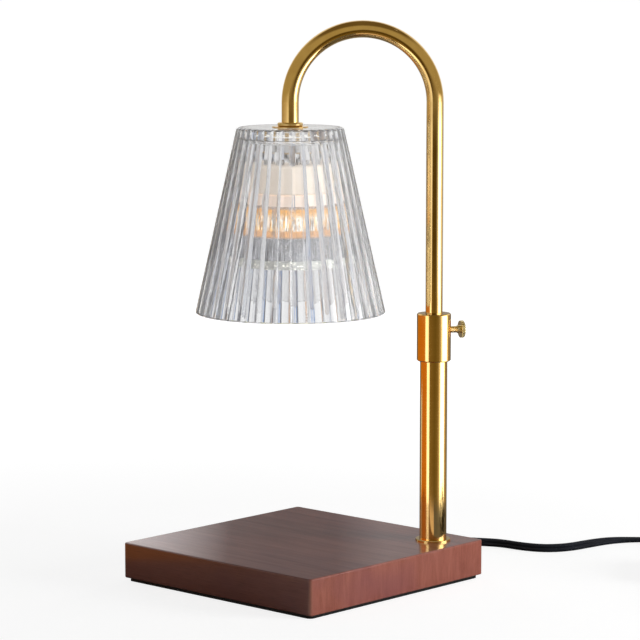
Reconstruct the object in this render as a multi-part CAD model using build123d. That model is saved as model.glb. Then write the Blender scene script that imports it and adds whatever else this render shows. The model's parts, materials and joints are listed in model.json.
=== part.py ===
from build123d import *
import math
import os

# Candle warmer lamp: a square wooden base, a brass post with a height collar, a sliding and
# turning U-shaped arm, and a ribbed glass shade that holds a downward reflector bulb.
# Millimetres, +Z up.  Origin: middle of the base's underside, on the table.
# The post, the arm and the shade lie in one upright plane along the base's diagonal.  They are
# drawn in that plane, with local x along it and 0 at the middle of the base, then turned.

# ------------------------------------------------------------------ how the shapes are cut and fused
past = 1.0                   # how far a cutting tool runs beyond a face that it opens
lap = 0.5                    # how far two fused shapes run into each other
standing = (Align.CENTER, Align.CENTER, Align.MIN)

# ------------------------------------------------------------------ base
base_side = 150.0
base_thickness = 21.0
base_corner_radius = 2.0
base_edge_round = 0.8
pad_thickness = 2.0
pad_inset = 2.0
pad_corner_radius = 3.0
post_inset = 21.0            # post axis to each of the two nearest sides
arm_plane_angle = 45.0       # the diagonal of the base

# ------------------------------------------------------------------ post and its foot
post_outer_radius = 8.0
post_wall = 1.0
foot_ring_radius = 10.4
foot_ring_height = 1.2
foot_ring_round = 0.5
stud_radius = 5.0            # M10 x 1 lamp thread, drawn plain
stud_bore_radius = 3.9
thread_clearance = 0.05      # radial, between a drawn-plain thread and its hole
foot_plug_height = 12.0
stud_recess = 1.0            # top of the stud below the plug's top
lead_above_plug = 1.0        # cord that stands out above the plug
pocket_radius = 15.0
pocket_floor = 7.0           # wood left above the nut pocket
foot_washer_radius = 12.0
foot_washer_height = 1.2
washer_clearance = 0.2       # radial, on the stud
foot_nut_flats = 14.0
foot_nut_height = 3.5
stud_overhang = 0.8          # thread that shows past a nut
nut_chamfer = 0.8

# ------------------------------------------------------------------ height collar and thumb screw
collar_radius = 10.0
collar_bottom = 130.0        # above the table
collar_height = 28.0
collar_socket_depth = 11.0   # how far the post goes up into the collar
collar_edge = 0.6
collar_fit = 0.03            # radial, on the post
slide_clearance = 0.1        # radial, arm tube in the collar and bush in the post
screw_below_top = 10.0       # thumb screw axis below the collar's top
screw_turned = 13.0          # degrees, from the arm plane
screw_shank_radius = 1.95
screw_shoulder_radius = 2.3
screw_shoulder_length = 1.6
screw_clearance = 0.05
screw_free_length = 4.3      # shank that shows when the screw is tight
screw_nose_radius = 1.85     # nylon nose that presses on the arm tube
screw_nose_length = 1.6
screw_nose_chamfer = 0.4
screw_pin_radius = 1.0       # the nose's pin, snapped into the screw's end
screw_pin_length = 2.0
screw_pin_end_gap = 0.3
screw_nose_gap = 0.1         # nose to the screw's end face
screw_head_radius = 5.1
screw_head_thickness = 2.2
screw_head_round = 0.4
screw_knurls = 24
screw_knurl_radius = 0.4
screw_seat_gap = 0.05        # nylon tip to arm tube

# ------------------------------------------------------------------ arm
arm_outer_radius = 5.0
arm_wall = 1.0
arm_bend_radius = 42.0       # middle of the tube
arm_foot = 92.0              # lower end of the tube above the table, in the middle of its travel
arm_short_leg = 11.8         # straight stretch above the shade
lead_inset = 1.0             # cord's end above the tube's lower end
bend_slack = 0.01            # keeps a straight between the cord's two bends
bush_length = 15.0
clip_height = 1.0
clip_thickness = 1.4
clip_opening = 50.0          # degrees
clip_gap = 0.15

# ------------------------------------------------------------------ shade and what clamps it
shade_mouth = 159.0          # above the table
shade_height = 108.0
shade_mouth_radius = 55.5    # over the ribs
shade_top_radius = 31.1
rib_count = 36
rib_depth = 1.2              # at the mouth; the ribs narrow with the cone
shade_wall = 4.2             # below the ribs
shade_ceiling = 7.0
shade_shoulder_round = 2.6
shade_mouth_round = 0.8
shade_ceiling_round = 3.0
stem_clearance = 0.3         # radial, threaded stem in the glass
top_disc_radius = 10.5
top_disc_height = 0.5
ferrule_radius = 7.4
ferrule_height = 2.2
ferrule_round = 0.7
spigot_length = 10.0
stem_bore_radius = 3.3
sheath_inset = 2.0           # the cord's sheath ends this far up in the stem
gasket_radius = 10.0
gasket_height = 1.0
clamp_washer_radius = 11.0
clamp_washer_height = 1.0
locknut_flats = 14.0
locknut_height = 5.0

# ------------------------------------------------------------------ lampholder
bracket_sheet = 1.0
bracket_width = 12.0
bracket_span = 33.0          # over the legs
bracket_drop = 13.0          # clamped plate's top to the holder's top
bracket_foot = 8.0
bracket_bend = 1.6
foot_screw_inset = 4.6       # screw axis from the outside of a leg
holder_radius = 18.0
holder_height = 16.5
holder_edge = 1.0
pin_spacing = 10.0           # GU10
pin_neck_radius = 1.35
pin_head_radius = 2.4
pin_neck_length = 3.4
pin_head_length = 3.0
pin_chamfer = 0.5
slot_clearance = 0.4
slot_lip = 2.6
slot_chamber = 7.6
bulb_twist = 28.0            # degrees from locked to free
contact_size = 4.4
contact_thickness = 0.8
wire_radius = 1.1
wire_clearance = 0.15
wire_spread = 2.9            # between the two wires where they leave the stem
wire_bend = 1.5
wire_bend_height = 1.6       # the wires' slanted stretch starts and ends this far out

# ------------------------------------------------------------------ small screws
screw_m3_radius = 1.5
screw_m3_clearance = 0.1
screw_m3_head_radius = 2.8
screw_m3_head_height = 1.8
screw_m3_head_round = 0.8
screw_m3_length = 7.0
screw_end_gap = 0.5          # hole below the screw's end
slot_drive_width = 0.8
slot_drive_depth = 0.7
cross_drive_length = 3.0
cross_drive_width = 0.7
cross_drive_depth = 0.8
countersink = 1.4
wood_screw_point = 1.5
wood_screw_tip_radius = 0.3

# ------------------------------------------------------------------ bulb (50 mm reflector)
bulb_seat_gap = 0.3
bulb_neck_radius = 15.5
bulb_neck_height = 6.6
bulb_neck_round = 1.0
bulb_reflector_height = 30.4
bulb_shoulder_radius = 24.4
bulb_radius = 25.0
bulb_rim_height = 5.1
bulb_glass = 1.5
bulb_belly = 22.0            # outer radius half way down the reflector
lens_thickness = 2.4
lens_round = 0.8
lens_fit = 0.05              # radial, in the rim
capsule_radius = 4.6
capsule_fit = 0.05           # radial, in the reflector's crown
capsule_length = 22.0

# ------------------------------------------------------------------ cord, gland and cord clamp
cord_diameter = 5.2          # width of the flat twin cord
gland_x = 0.0
cord_height_in_base = 7.2
gland_radius = 4.0
gland_clearance = 0.05       # radial, in the base's back wall
gland_collar_radius = 5.2
gland_collar = 2.0
gland_collar_chamfer = 0.5
gland_wall = 6.0
gland_relief = 22.0
gland_root_radius = 4.3
gland_tip_radius = 3.2
snap_clearance = 0.3         # round the collar inside the base
groove_count = 5             # round each strain relief
groove_margin = 2.5          # plain stretch at each end of a strain relief
groove_depth = 0.45
groove_share = 0.4           # of the grooves' pitch
cord_fit = 0.05
channel_width = 8.0
channel_depth = 9.5
cord_bend_in_base = 5.2
clamp_from_back = 16.0
clamp_length = 26.0
clamp_width = 9.0
clamp_clearance = 0.2        # to the pad, and round the clamp in its recess
clamp_screw_spacing = 17.0
clamp_screw_length = 7.0

# ------------------------------------------------------------------ in-line dimmer
dimmer_place = (167.5, 163.5)   # middle of the dimmer
dimmer_angle = -54.0
dimmer_length = 56.0
dimmer_width = 26.0
dimmer_height = 17.0
dimmer_split = 8.5           # joint between the two shells, above the table
dimmer_wall = 1.6
dimmer_corner = 8.0
dimmer_round = 2.5
dimmer_foot_round = 1.5
dimmer_seam_chamfer = 0.3    # along the joint of the two shells
dimmer_post_radius = 2.9
dimmer_post_from_end = 8.5
dimmer_post_from_side = 4.4
dimmer_screw_recess = 0.3    # screw heads below the lower shell's face
dimmer_screw_grip = 4.5      # screw in the upper shell's post
head_clearance = 0.2         # round and above a sunk screw head
dial_radius = 9.0
dial_rise = 3.0
dial_round = 0.8
dial_gap = 0.35
dial_flange = 1.4
dial_flange_lip = 1.6        # beyond the dial's edge
dial_knurls = 30
dial_knurl_radius = 0.45
dial_bore = 1.6
dial_bore_depth = 2.9
relief_length = 20.0
relief_flange = 1.4
relief_root_radius = 4.4
relief_neck_radius = 3.6     # in the shells' end walls
relief_fit = 0.05
relief_tip_radius = 3.3
cord_height_at_dimmer = 6.0
board_lift = 2.4             # above the shell's floor
board_thickness = 1.6
board_corner = 4.0
board_clearance = 0.4        # to the side walls and the screw posts
board_end_gap = 0.6          # to the reliefs' flanges
board_leg_radius = 1.2
pot_size = 12.0
pot_corner = 1.5
pot_shaft_radius = 1.55
pot_shaft_length = 2.2       # above the dial's flange
pot_gap = 0.6                # under the dial

# ------------------------------------------------------------------ put-away coil and plug
coil_lead = 30.0             # cord between the dimmer's relief and the coil
coil_mid_radius = 31.0
coil_turns_wide = 4
coil_layers = 2
turn_pitch = 5.3
coil_edge_round = 2.1
plug_tail = 22.0             # cord between the coil and the plug's relief
plug_exit_angle = 35.0       # where the cord leaves the coil, seen from above
plug_relief = 22.0
plug_relief_root_radius = 4.8
plug_length = 28.0
plug_face_width = 25.0
plug_face_height = 15.0
plug_face_corner = 5.0
plug_face_round = 1.2
plug_shoulder = 8.0          # full-width stretch behind the face
plug_waist_width = 18.5
plug_waist_height = 10.5
plug_waist_place = 12.6      # from the plug's back
plug_back_width = 17.0
plug_back_height = 11.0
plug_back_corner = 4.0
blade_spacing = 12.7
blade_width = 6.35
blade_polarised_extra = 1.6  # one blade is wider
blade_thickness = 1.5
blade_length = 17.0
blade_root = 6.0             # inside the plug
blade_chamfer = 1.2
blade_hole_radius = 1.6
blade_hole_from_tip = 4.0

# ------------------------------------------------------------------ worked out from the above
base_top = pad_thickness + base_thickness
post_xy = base_side / 2 - post_inset
post_u = post_xy * math.sqrt(2)
shade_u = post_u - 2 * arm_bend_radius
post_bore_radius = post_outer_radius - post_wall
arm_bore_radius = arm_outer_radius - arm_wall
collar_top = collar_bottom + collar_height
post_top = collar_bottom + collar_socket_depth
screw_z = collar_top - screw_below_top
shade_top = shade_mouth + shade_height
ferrule_bottom = shade_top + top_disc_height
ferrule_top = ferrule_bottom + ferrule_height
bend_z = ferrule_top + arm_short_leg
ceiling_z = shade_top - shade_ceiling
gasket_bottom = ceiling_z - gasket_height
clamp_washer_bottom = gasket_bottom - clamp_washer_height
bracket_plate_bottom = clamp_washer_bottom - bracket_sheet
locknut_bottom = bracket_plate_bottom - locknut_height
stem_bottom = locknut_bottom - stud_overhang
holder_top = clamp_washer_bottom - bracket_drop
holder_bottom = holder_top - holder_height
bulb_top = holder_bottom - bulb_seat_gap
reflector_top = bulb_top - bulb_neck_height
rim_top = reflector_top - bulb_reflector_height
bulb_front = rim_top - bulb_rim_height
pocket_top = base_top - pocket_floor
foot_nut_bottom = pocket_top - foot_washer_height - foot_nut_height
stud_bottom = foot_nut_bottom - stud_overhang
cord_radius = cord_diameter / 2
gland_tip_y = base_side / 2 + gland_collar + gland_relief


# ------------------------------------------------------------------ helpers
def rod(radius, bottom, top, x=0.0, y=0.0):
    """Upright cylinder between two heights."""
    return Pos(x, y, bottom) * Cylinder(radius, top - bottom, align=standing)


def hole(radius, bottom, top, x=0.0, y=0.0):
    """Cutting tool for an upright round hole that opens the faces at both heights."""
    return rod(radius, bottom - past, top + past, x, y)


def ring(outer, inner, bottom, top, x=0.0, y=0.0):
    """Upright tube between two heights."""
    return rod(outer, bottom, top, x, y) - hole(inner, bottom, top, x, y)


def spun(points, x=0.0):
    """Solid of revolution about the upright axis at x, from (radius, height) points."""
    outline = make_face(Plane.XZ * Polyline(*points, close=True))
    return Pos(x, 0, 0) * revolve(outline, Axis.Z)


def in_arm_plane(shape):
    """From the arm's own plane to its place along the base's diagonal."""
    return shape.rotate(Axis.Z, arm_plane_angle)


def top_edges(shape):
    return shape.edges().group_by(Axis.Z)[-1]


def bottom_edges(shape):
    return shape.edges().group_by(Axis.Z)[0]


def hex_nut(flats, bore, bottom, top):
    """Hexagon nut with the corners of both faces turned off."""
    blank = Pos(0, 0, bottom) * extrude(RegularPolygon(flats / 2, 6, major_radius=False), top - bottom)
    corner = flats / math.sqrt(3)
    turned = spun([(0, bottom), (flats / 2, bottom), (corner, bottom + nut_chamfer),
                   (corner, top - nut_chamfer), (flats / 2, top), (0, top)])
    return (blank & turned) - hole(bore, bottom, top)


def swept(radius, path):
    """Round bar along a path."""
    return sweep(Plane(origin=path @ 0, z_dir=path % 0) * Circle(radius), path=path)


def knurl(head, radius, bottom, top, count, notch):
    """Round notches cut down the edge of a disc."""
    for i in range(count):
        turn = math.radians(360 / count * i)
        head -= hole(notch, bottom, top, radius * math.cos(turn), radius * math.sin(turn))
    return head


def grooved(sleeve, start, end, start_radius, end_radius):
    """Grooves cut round a tapered strain relief, drawn upright between two heights."""
    pitch = (end - start - 2 * groove_margin) / groove_count
    for i in range(groove_count):
        low = start + groove_margin + pitch * i
        share = (low - start) / (end - start)
        floor = start_radius + (end_radius - start_radius) * share - groove_depth
        sleeve -= ring(max(start_radius, end_radius) + past, floor, low, low + pitch * groove_share)
    return sleeve


def cross_drive(x, y, face):
    """Cutting tool for the cross recess of a screw, half above and half below the head's face."""
    deep = 2 * cross_drive_depth
    return Pos(x, y, face) * (Box(cross_drive_length, cross_drive_width, deep)
                              + Box(cross_drive_width, cross_drive_length, deep))


def free_radii(points):
    """The largest arc that each corner of a cord's route leaves room for."""
    radii = []
    for before, here, after in zip(points, points[1:], points[2:]):
        run_in, run_out = Vector(*here) - Vector(*before), Vector(*after) - Vector(*here)
        half_turn = math.radians(run_in.get_angle(run_out)) / 2
        radii.append(0.45 * min(run_in.length, run_out.length) / math.tan(half_turn))
    return radii


def cord_tube(name, points):
    """Plain round tube along a cord's route, with its radii and its volume printed."""
    radii = free_radii(points)
    path = FilletPolyline(*points, radius=radii)
    tube = swept(cord_radius, path)
    print(name, "length", round(path.length, 1), "radii", [round(r) for r in radii],
          "volume over section x length", round(tube.volume / (math.pi * cord_radius**2 * path.length), 4))
    return tube


# ------------------------------------------------------------------ base and foot
def milled(start, end, width, depth):
    """Straight groove with round ends, milled up from the underside of the wood."""
    run = Vector(*end) - Vector(*start)
    middle = (Vector(*start) + Vector(*end)) / 2
    angle = math.degrees(math.atan2(run.Y, run.X))
    groove = extrude(SlotCenterToCenter(run.length, width), depth)
    return Pos(middle.X, middle.Y, pad_thickness) * Rot(0, 0, angle) * groove


def at_gland(shape):
    """From a piece drawn upright, with its height as its Y, to the cord's axis through the back wall."""
    return Pos(gland_x, 0, cord_height_in_base) * Rot(-90, 0, 0) * shape


clamp_y = base_side / 2 - clamp_from_back
clamp_top = cord_height_in_base - cord_radius
clamp_bottom = pad_thickness + clamp_clearance
clamp_screw_xs = [gland_x - clamp_screw_spacing / 2, gland_x + clamp_screw_spacing / 2]


def base_block():
    block = Pos(0, 0, pad_thickness) * extrude(
        RectangleRounded(base_side, base_side, base_corner_radius), base_thickness)
    block = fillet(top_edges(block) + bottom_edges(block), base_edge_round)
    block -= rod(pocket_radius, pad_thickness - past, pocket_top, post_xy, post_xy)
    block -= hole(stud_radius + thread_clearance, pocket_top, base_top, post_xy, post_xy)
    back_end = base_side / 2 - gland_wall
    block -= milled((post_xy, post_xy), (gland_x, post_xy), channel_width, channel_depth)
    block -= milled((gland_x, post_xy), (gland_x, back_end - gland_collar - channel_width / 2),
                    channel_width, channel_depth)
    block -= milled((gland_x - clamp_length / 2 + clamp_width / 2, clamp_y),
                    (gland_x + clamp_length / 2 - clamp_width / 2, clamp_y),
                    clamp_width + 2 * clamp_clearance, clamp_top - pad_thickness)
    snap_radius = gland_collar_radius + snap_clearance
    snap_height = cord_height_in_base + snap_radius - pad_thickness
    snap_room = Box(2 * snap_radius, gland_collar + channel_width, snap_height,
                    align=(Align.CENTER, Align.MAX, Align.MIN))
    block -= Pos(gland_x, back_end, pad_thickness) * snap_room
    block -= at_gland(hole(gland_radius + gland_clearance, back_end, base_side / 2))
    for x in clamp_screw_xs:
        block -= rod(screw_m3_radius, clamp_bottom, clamp_top + clamp_screw_length, x, clamp_y)
    return block


def base_pad():
    side = base_side - 2 * pad_inset
    return extrude(RectangleRounded(side, side, pad_corner_radius), pad_thickness)


def cord_clamp():
    bar = Pos(gland_x, clamp_y, clamp_bottom) * extrude(
        SlotOverall(clamp_length, clamp_width), clamp_top - clamp_bottom)
    for x in clamp_screw_xs:
        bar -= hole(screw_m3_radius + screw_m3_clearance, clamp_bottom, clamp_top, x, clamp_y)
        bar -= Pos(x, clamp_y, clamp_bottom) * Cone(
            screw_m3_head_radius, screw_m3_radius + screw_m3_clearance, countersink, align=standing)
    return bar


def clamp_screws():
    """Two countersunk wood screws, driven up into the base."""
    point_start = clamp_top + clamp_screw_length - wood_screw_point
    screws = []
    for x in clamp_screw_xs:
        head = Pos(x, clamp_y, clamp_bottom) * Cone(
            screw_m3_head_radius, screw_m3_radius, countersink, align=standing)
        shank = rod(screw_m3_radius, clamp_bottom, point_start, x, clamp_y)
        point = Pos(x, clamp_y, point_start) * Cone(
            screw_m3_radius, wood_screw_tip_radius, wood_screw_point, align=standing)
        screws.append(head + shank + point - cross_drive(x, clamp_y, clamp_bottom))
    return Compound(screws)


def cord_gland():
    """Rubber strain relief: a snap collar each side of the wall and a grooved tapered sleeve.

    The sleeve is moulded on the cord, so it is solid from the wall outwards.
    """
    inner = base_side / 2 - gland_wall
    outer = base_side / 2
    sleeve = outer + gland_collar
    points = [(0, inner - gland_collar), (gland_collar_radius - gland_collar_chamfer, inner - gland_collar),
              (gland_collar_radius, inner), (gland_radius, inner), (gland_radius, outer),
              (gland_collar_radius, outer), (gland_collar_radius, sleeve),
              (gland_root_radius, sleeve), (gland_tip_radius, gland_tip_y), (0, gland_tip_y)]
    body = grooved(spun(points), sleeve, gland_tip_y, gland_root_radius, gland_tip_radius)
    return at_gland(body - rod(cord_radius + cord_fit, inner - gland_collar - past, outer))


def base_lead():
    """The cord's run inside the base: in through the gland, along the groove, up the hollow stud."""
    level = cord_height_in_base
    end = base_top + foot_plug_height + lead_above_plug
    path = FilletPolyline((gland_x, base_side / 2, level), (gland_x, post_xy, level),
                          (post_xy, post_xy, level), (post_xy, post_xy, end), radius=cord_bend_in_base)
    return swept(cord_radius, path)


def foot_washer():
    return Pos(post_xy, post_xy, 0) * ring(foot_washer_radius, stud_radius + washer_clearance,
                                           pocket_top - foot_washer_height, pocket_top)


def foot_nut():
    nut = hex_nut(foot_nut_flats, stud_radius + thread_clearance, foot_nut_bottom,
                  foot_nut_bottom + foot_nut_height)
    return Pos(post_xy, post_xy, 0) * nut


def post_stud():
    top = base_top + foot_plug_height - stud_recess
    return in_arm_plane(ring(stud_radius, stud_bore_radius, stud_bottom, top, post_u))


def post_foot_plug():
    return in_arm_plane(ring(post_bore_radius, stud_radius + thread_clearance, base_top,
                             base_top + foot_plug_height, post_u))


def post_tube():
    return in_arm_plane(ring(post_outer_radius, post_bore_radius, base_top, post_top, post_u))


def post_foot_ring():
    body = ring(foot_ring_radius, post_outer_radius + thread_clearance, base_top,
                base_top + foot_ring_height, post_u)
    outer = top_edges(body).sort_by(SortBy.LENGTH)[-1]
    return in_arm_plane(fillet(outer, foot_ring_round))


# ------------------------------------------------------------------ collar and thumb screw
def on_screw_axis(shape):
    """From a screw drawn upright from the post's axis to its place across the collar."""
    laid = Pos(post_u, 0, screw_z) * Rot(0, 0, screw_turned) * Rot(0, 90, 0) * shape
    return in_arm_plane(laid)


def height_collar():
    body = rod(collar_radius, collar_bottom, collar_top, post_u)
    body = chamfer(top_edges(body) + bottom_edges(body), collar_edge)
    body -= rod(post_outer_radius + collar_fit, collar_bottom - past, post_top, post_u)
    body -= hole(arm_outer_radius + slide_clearance, post_top, collar_top, post_u)
    screw_hole = rod(screw_shank_radius + screw_clearance, 0, collar_radius + past)
    return in_arm_plane(body) - on_screw_axis(screw_hole)


screw_tip_start = arm_outer_radius + screw_seat_gap
screw_neck = screw_tip_start + screw_nose_length
screw_shoulder = collar_radius + screw_free_length
screw_head = screw_shoulder + screw_shoulder_length
screw_end = screw_head + screw_head_thickness


def thumb_screw_tip():
    """Nylon nose that presses on the arm tube; its stem sits in the screw's end."""
    nose = rod(screw_nose_radius, screw_tip_start, screw_neck)
    nose = chamfer(bottom_edges(nose), screw_nose_chamfer)
    return on_screw_axis(nose + rod(screw_pin_radius, screw_neck - lap, screw_neck + screw_pin_length))


def thumb_screw():
    body = rod(screw_shank_radius, screw_neck + screw_nose_gap, screw_shoulder + lap)
    body += rod(screw_shoulder_radius, screw_shoulder, screw_head + lap)
    head = rod(screw_head_radius, screw_head, screw_end)
    head = fillet(top_edges(head) + bottom_edges(head), screw_head_round)
    head = knurl(head, screw_head_radius, screw_head, screw_end, screw_knurls, screw_knurl_radius)
    body += head
    pin_hole_end = screw_neck + screw_pin_length + screw_pin_end_gap
    body -= rod(screw_pin_radius + screw_clearance, screw_neck, pin_hole_end)
    return on_screw_axis(body)


# ------------------------------------------------------------------ arm
def arm_tube():
    foot = (post_u, 0, arm_foot)
    outer_knee = (post_u, 0, bend_z)
    crown = (post_u - arm_bend_radius, 0, bend_z + arm_bend_radius)
    inner_knee = (shade_u, 0, bend_z)
    path = Line(foot, outer_knee) + ThreePointArc(outer_knee, crown, inner_knee)
    path += Line(inner_knee, (shade_u, 0, ferrule_top))
    section = Pos(*foot) * (Circle(arm_outer_radius) - Circle(arm_bore_radius))
    return in_arm_plane(sweep(section, path=path))


def guide_bush():
    """Nylon bush: it slides in the post, and the arm tube turns in it."""
    bottom = arm_foot + clip_height + 2 * clip_gap
    bush = ring(post_bore_radius - slide_clearance, arm_outer_radius + slide_clearance, bottom,
                bottom + bush_length, post_u)
    return in_arm_plane(bush)


def arm_clips():
    """Two open spring rings on the arm tube, one under and one over the bush."""
    low = arm_foot + clip_gap
    high = low + clip_height + bush_length + 2 * clip_gap
    clips = []
    for bottom in (low, high):
        clip = ring(arm_outer_radius + clip_thickness, arm_outer_radius, bottom, bottom + clip_height)
        reach = 2 * (arm_outer_radius + clip_thickness)
        half = reach * math.tan(math.radians(clip_opening / 2))
        mouth = make_face(Polyline((0, 0), (reach, half), (reach, -half), close=True))
        clips.append(clip - Pos(0, 0, bottom - past) * extrude(mouth, clip_height + 2 * past))
    return in_arm_plane(Pos(post_u, 0, 0) * Compound(clips))


def shade_stem():
    """Turned brass end of the arm: spigot brazed in the tube, ferrule, and hollow threaded stem."""
    spigot = rod(arm_bore_radius, ferrule_top - lap, ferrule_top + spigot_length)
    ferrule = rod(ferrule_radius, ferrule_bottom, ferrule_top)
    ferrule = fillet(top_edges(ferrule) + bottom_edges(ferrule), ferrule_round)
    body = spigot + ferrule + rod(stud_radius, stem_bottom, ferrule_bottom + lap)
    body -= hole(stem_bore_radius, stem_bottom, ferrule_top + spigot_length)
    return in_arm_plane(Pos(shade_u, 0, 0) * body)


def arm_lead():
    """The cord inside the arm tube, from its foot over the bend to the stem's end."""
    crown = bend_z + arm_bend_radius
    knees = [(post_u, 0, arm_foot + lead_inset), (post_u, 0, crown),
             (shade_u, 0, crown), (shade_u, 0, stem_bottom + sheath_inset)]
    return in_arm_plane(swept(cord_radius, FilletPolyline(*knees, radius=arm_bend_radius - bend_slack)))


# ------------------------------------------------------------------ shade
def fluted_outline(crest_radius, height):
    """One level of the glass: convex ribs that meet in narrow valleys."""
    valley_radius = crest_radius * (1 - rib_depth / shade_mouth_radius)

    def at(radius, turn):
        angle = math.radians(360 / rib_count * turn)
        return (radius * math.cos(angle), radius * math.sin(angle), height)

    ribs = [ThreePointArc(at(valley_radius, i), at(crest_radius, i + 0.5), at(valley_radius, i + 1))
            for i in range(rib_count)]
    return make_face(ribs)


def glass_shade():
    mouth, top = shade_mouth, shade_top
    body = loft([fluted_outline(shade_mouth_radius, mouth), fluted_outline(shade_top_radius, top)],
                ruled=True)
    skin = 0.05              # keeps the rounding tool just clear of the ribs' crests
    rounding = spun([(0, mouth), (shade_mouth_radius + skin, mouth), (shade_top_radius + skin, top),
                     (0, top)])
    rounding = fillet(top_edges(rounding), shade_shoulder_round)
    rounding = fillet(bottom_edges(rounding), shade_mouth_round)
    slope = (shade_mouth_radius - shade_top_radius) / shade_height
    mouth_inside = shade_mouth_radius - rib_depth - shade_wall
    ceiling_inside = mouth_inside - slope * (ceiling_z - mouth)
    hollow = spun([(0, mouth - past), (mouth_inside + past * slope, mouth - past),
                   (ceiling_inside, ceiling_z), (0, ceiling_z)])
    hollow = fillet(top_edges(hollow), shade_ceiling_round)
    stem_hole = hole(stud_radius + stem_clearance, ceiling_z, top)
    return in_arm_plane(Pos(shade_u, 0, 0) * ((body & rounding) - hollow - stem_hole))


def shade_top_disc():
    return in_arm_plane(ring(top_disc_radius, stud_radius + thread_clearance, shade_top, ferrule_bottom,
                             shade_u))


def shade_gasket():
    bore = stud_radius + thread_clearance
    return in_arm_plane(ring(gasket_radius, bore, gasket_bottom, ceiling_z, shade_u))


def shade_clamp_washer():
    return in_arm_plane(ring(clamp_washer_radius, stud_radius + thread_clearance, clamp_washer_bottom,
                             gasket_bottom, shade_u))


def shade_locknut():
    nut = hex_nut(locknut_flats, stud_radius + thread_clearance, locknut_bottom, bracket_plate_bottom)
    return in_arm_plane(Pos(shade_u, 0, 0) * nut)


# ------------------------------------------------------------------ lampholder
foot_screw_x = bracket_span / 2 - foot_screw_inset


def holder_bracket():
    """Bent strap: clamped plate above, two legs, and two feet turned in under them."""
    half = (bracket_span - bracket_sheet) / 2
    low = holder_top + bracket_sheet / 2
    high = clamp_washer_bottom - bracket_sheet / 2
    inner = half - bracket_foot
    line = FilletPolyline((-inner, low), (-half, low), (-half, high), (half, high), (half, low), (inner, low),
                          radius=bracket_bend)
    strip = Plane.XZ * trace(line, bracket_sheet)
    strap = extrude(strip, bracket_width / 2, both=True)
    strap -= hole(stud_radius + thread_clearance, bracket_plate_bottom, clamp_washer_bottom)
    for side in (-1, 1):
        strap -= hole(screw_m3_radius + screw_m3_clearance, holder_top, holder_top + bracket_sheet,
                      side * foot_screw_x)
    return in_arm_plane(Pos(shade_u, 0, 0) * strap)


def holder_screws():
    screws = []
    for side in (-1, 1):
        x = side * foot_screw_x
        seat = holder_top + bracket_sheet
        head = rod(screw_m3_head_radius, seat, seat + screw_m3_head_height, x)
        head = fillet(top_edges(head), screw_m3_head_round)
        head -= Pos(x, 0, seat + screw_m3_head_height) * Box(
            2 * screw_m3_head_radius + past, slot_drive_width, 2 * slot_drive_depth)
        screws.append(head + rod(screw_m3_radius, seat - screw_m3_length, seat + lap, x))
    return in_arm_plane(Pos(shade_u, 0, 0) * Compound(screws))


def pin_slot(width, depth, start, sweep_angle):
    """Curved slot on the pin circle, cut up from the holder's underside."""
    cuts = []
    for side in (0, 180):
        line = CenterArc((0, 0), pin_spacing / 2, start + side, sweep_angle)
        cuts.append(Pos(0, 0, holder_bottom - past) * extrude(SlotArc(line, width), depth + past))
    return cuts


def lamp_holder():
    """Ceramic GU10 holder: keyhole slots under a lip, a chamber above it and two wire holes."""
    body = rod(holder_radius, holder_bottom, holder_top)
    body = chamfer(top_edges(body) + bottom_edges(body), holder_edge)
    neck = 2 * (pin_neck_radius + slot_clearance)
    head = 2 * (pin_head_radius + slot_clearance)
    for cut in pin_slot(neck, slot_lip, 0, bulb_twist):
        body -= cut
    for cut in pin_slot(head, slot_chamber, 0, bulb_twist):
        body -= cut - rod(holder_radius, holder_bottom - 2 * past, holder_bottom + slot_lip)
    turn = math.radians(bulb_twist)
    for side in (-1, 1):
        x, y = pin_spacing / 2 * math.cos(turn), pin_spacing / 2 * math.sin(turn)
        body -= hole(head / 2, holder_bottom, holder_bottom + slot_lip, side * x, side * y)
        body -= hole(wire_radius + wire_clearance, holder_bottom + slot_chamber, holder_top,
                     side * pin_spacing / 2)
        body -= rod(screw_m3_radius, holder_top - screw_m3_length - screw_end_gap, holder_top + past,
                    side * foot_screw_x)
    return in_arm_plane(Pos(shade_u, 0, 0) * body)


def holder_contacts():
    """Spring contacts at the top of each pin chamber."""
    top = holder_bottom + slot_chamber
    plates = [rod(contact_size / 2, top - contact_thickness, top, side * pin_spacing / 2) for side in (-1, 1)]
    return in_arm_plane(Pos(shade_u, 0, 0) * Compound(plates))


def holder_wires():
    """The two insulated wires from the stem to the contacts."""
    wires = []
    for side in (-1, 1):
        near, far = side * wire_spread / 2, side * pin_spacing / 2
        path = FilletPolyline((near, 0, stem_bottom + sheath_inset),
                              (near, 0, stem_bottom - wire_bend_height),
                              (far, 0, holder_top + wire_bend_height),
                              (far, 0, holder_bottom + slot_chamber), radius=wire_bend)
        wires.append(swept(wire_radius, path))
    return in_arm_plane(Pos(shade_u, 0, 0) * Compound(wires))


# ------------------------------------------------------------------ bulb
def bulb_base():
    body = rod(bulb_neck_radius, reflector_top, bulb_top)
    body = fillet(top_edges(body), bulb_neck_round)
    return in_arm_plane(Pos(shade_u, 0, 0) * body)


def bulb_pins():
    pins = []
    for side in (-1, 1):
        x = side * pin_spacing / 2
        neck_top = bulb_top + pin_neck_length
        head = rod(pin_head_radius, neck_top, neck_top + pin_head_length, x)
        head = chamfer(top_edges(head), pin_chamfer)
        pins.append(head + rod(pin_neck_radius, bulb_top, neck_top + lap, x))
    return in_arm_plane(Pos(shade_u, 0, 0) * Compound(pins))


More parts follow.
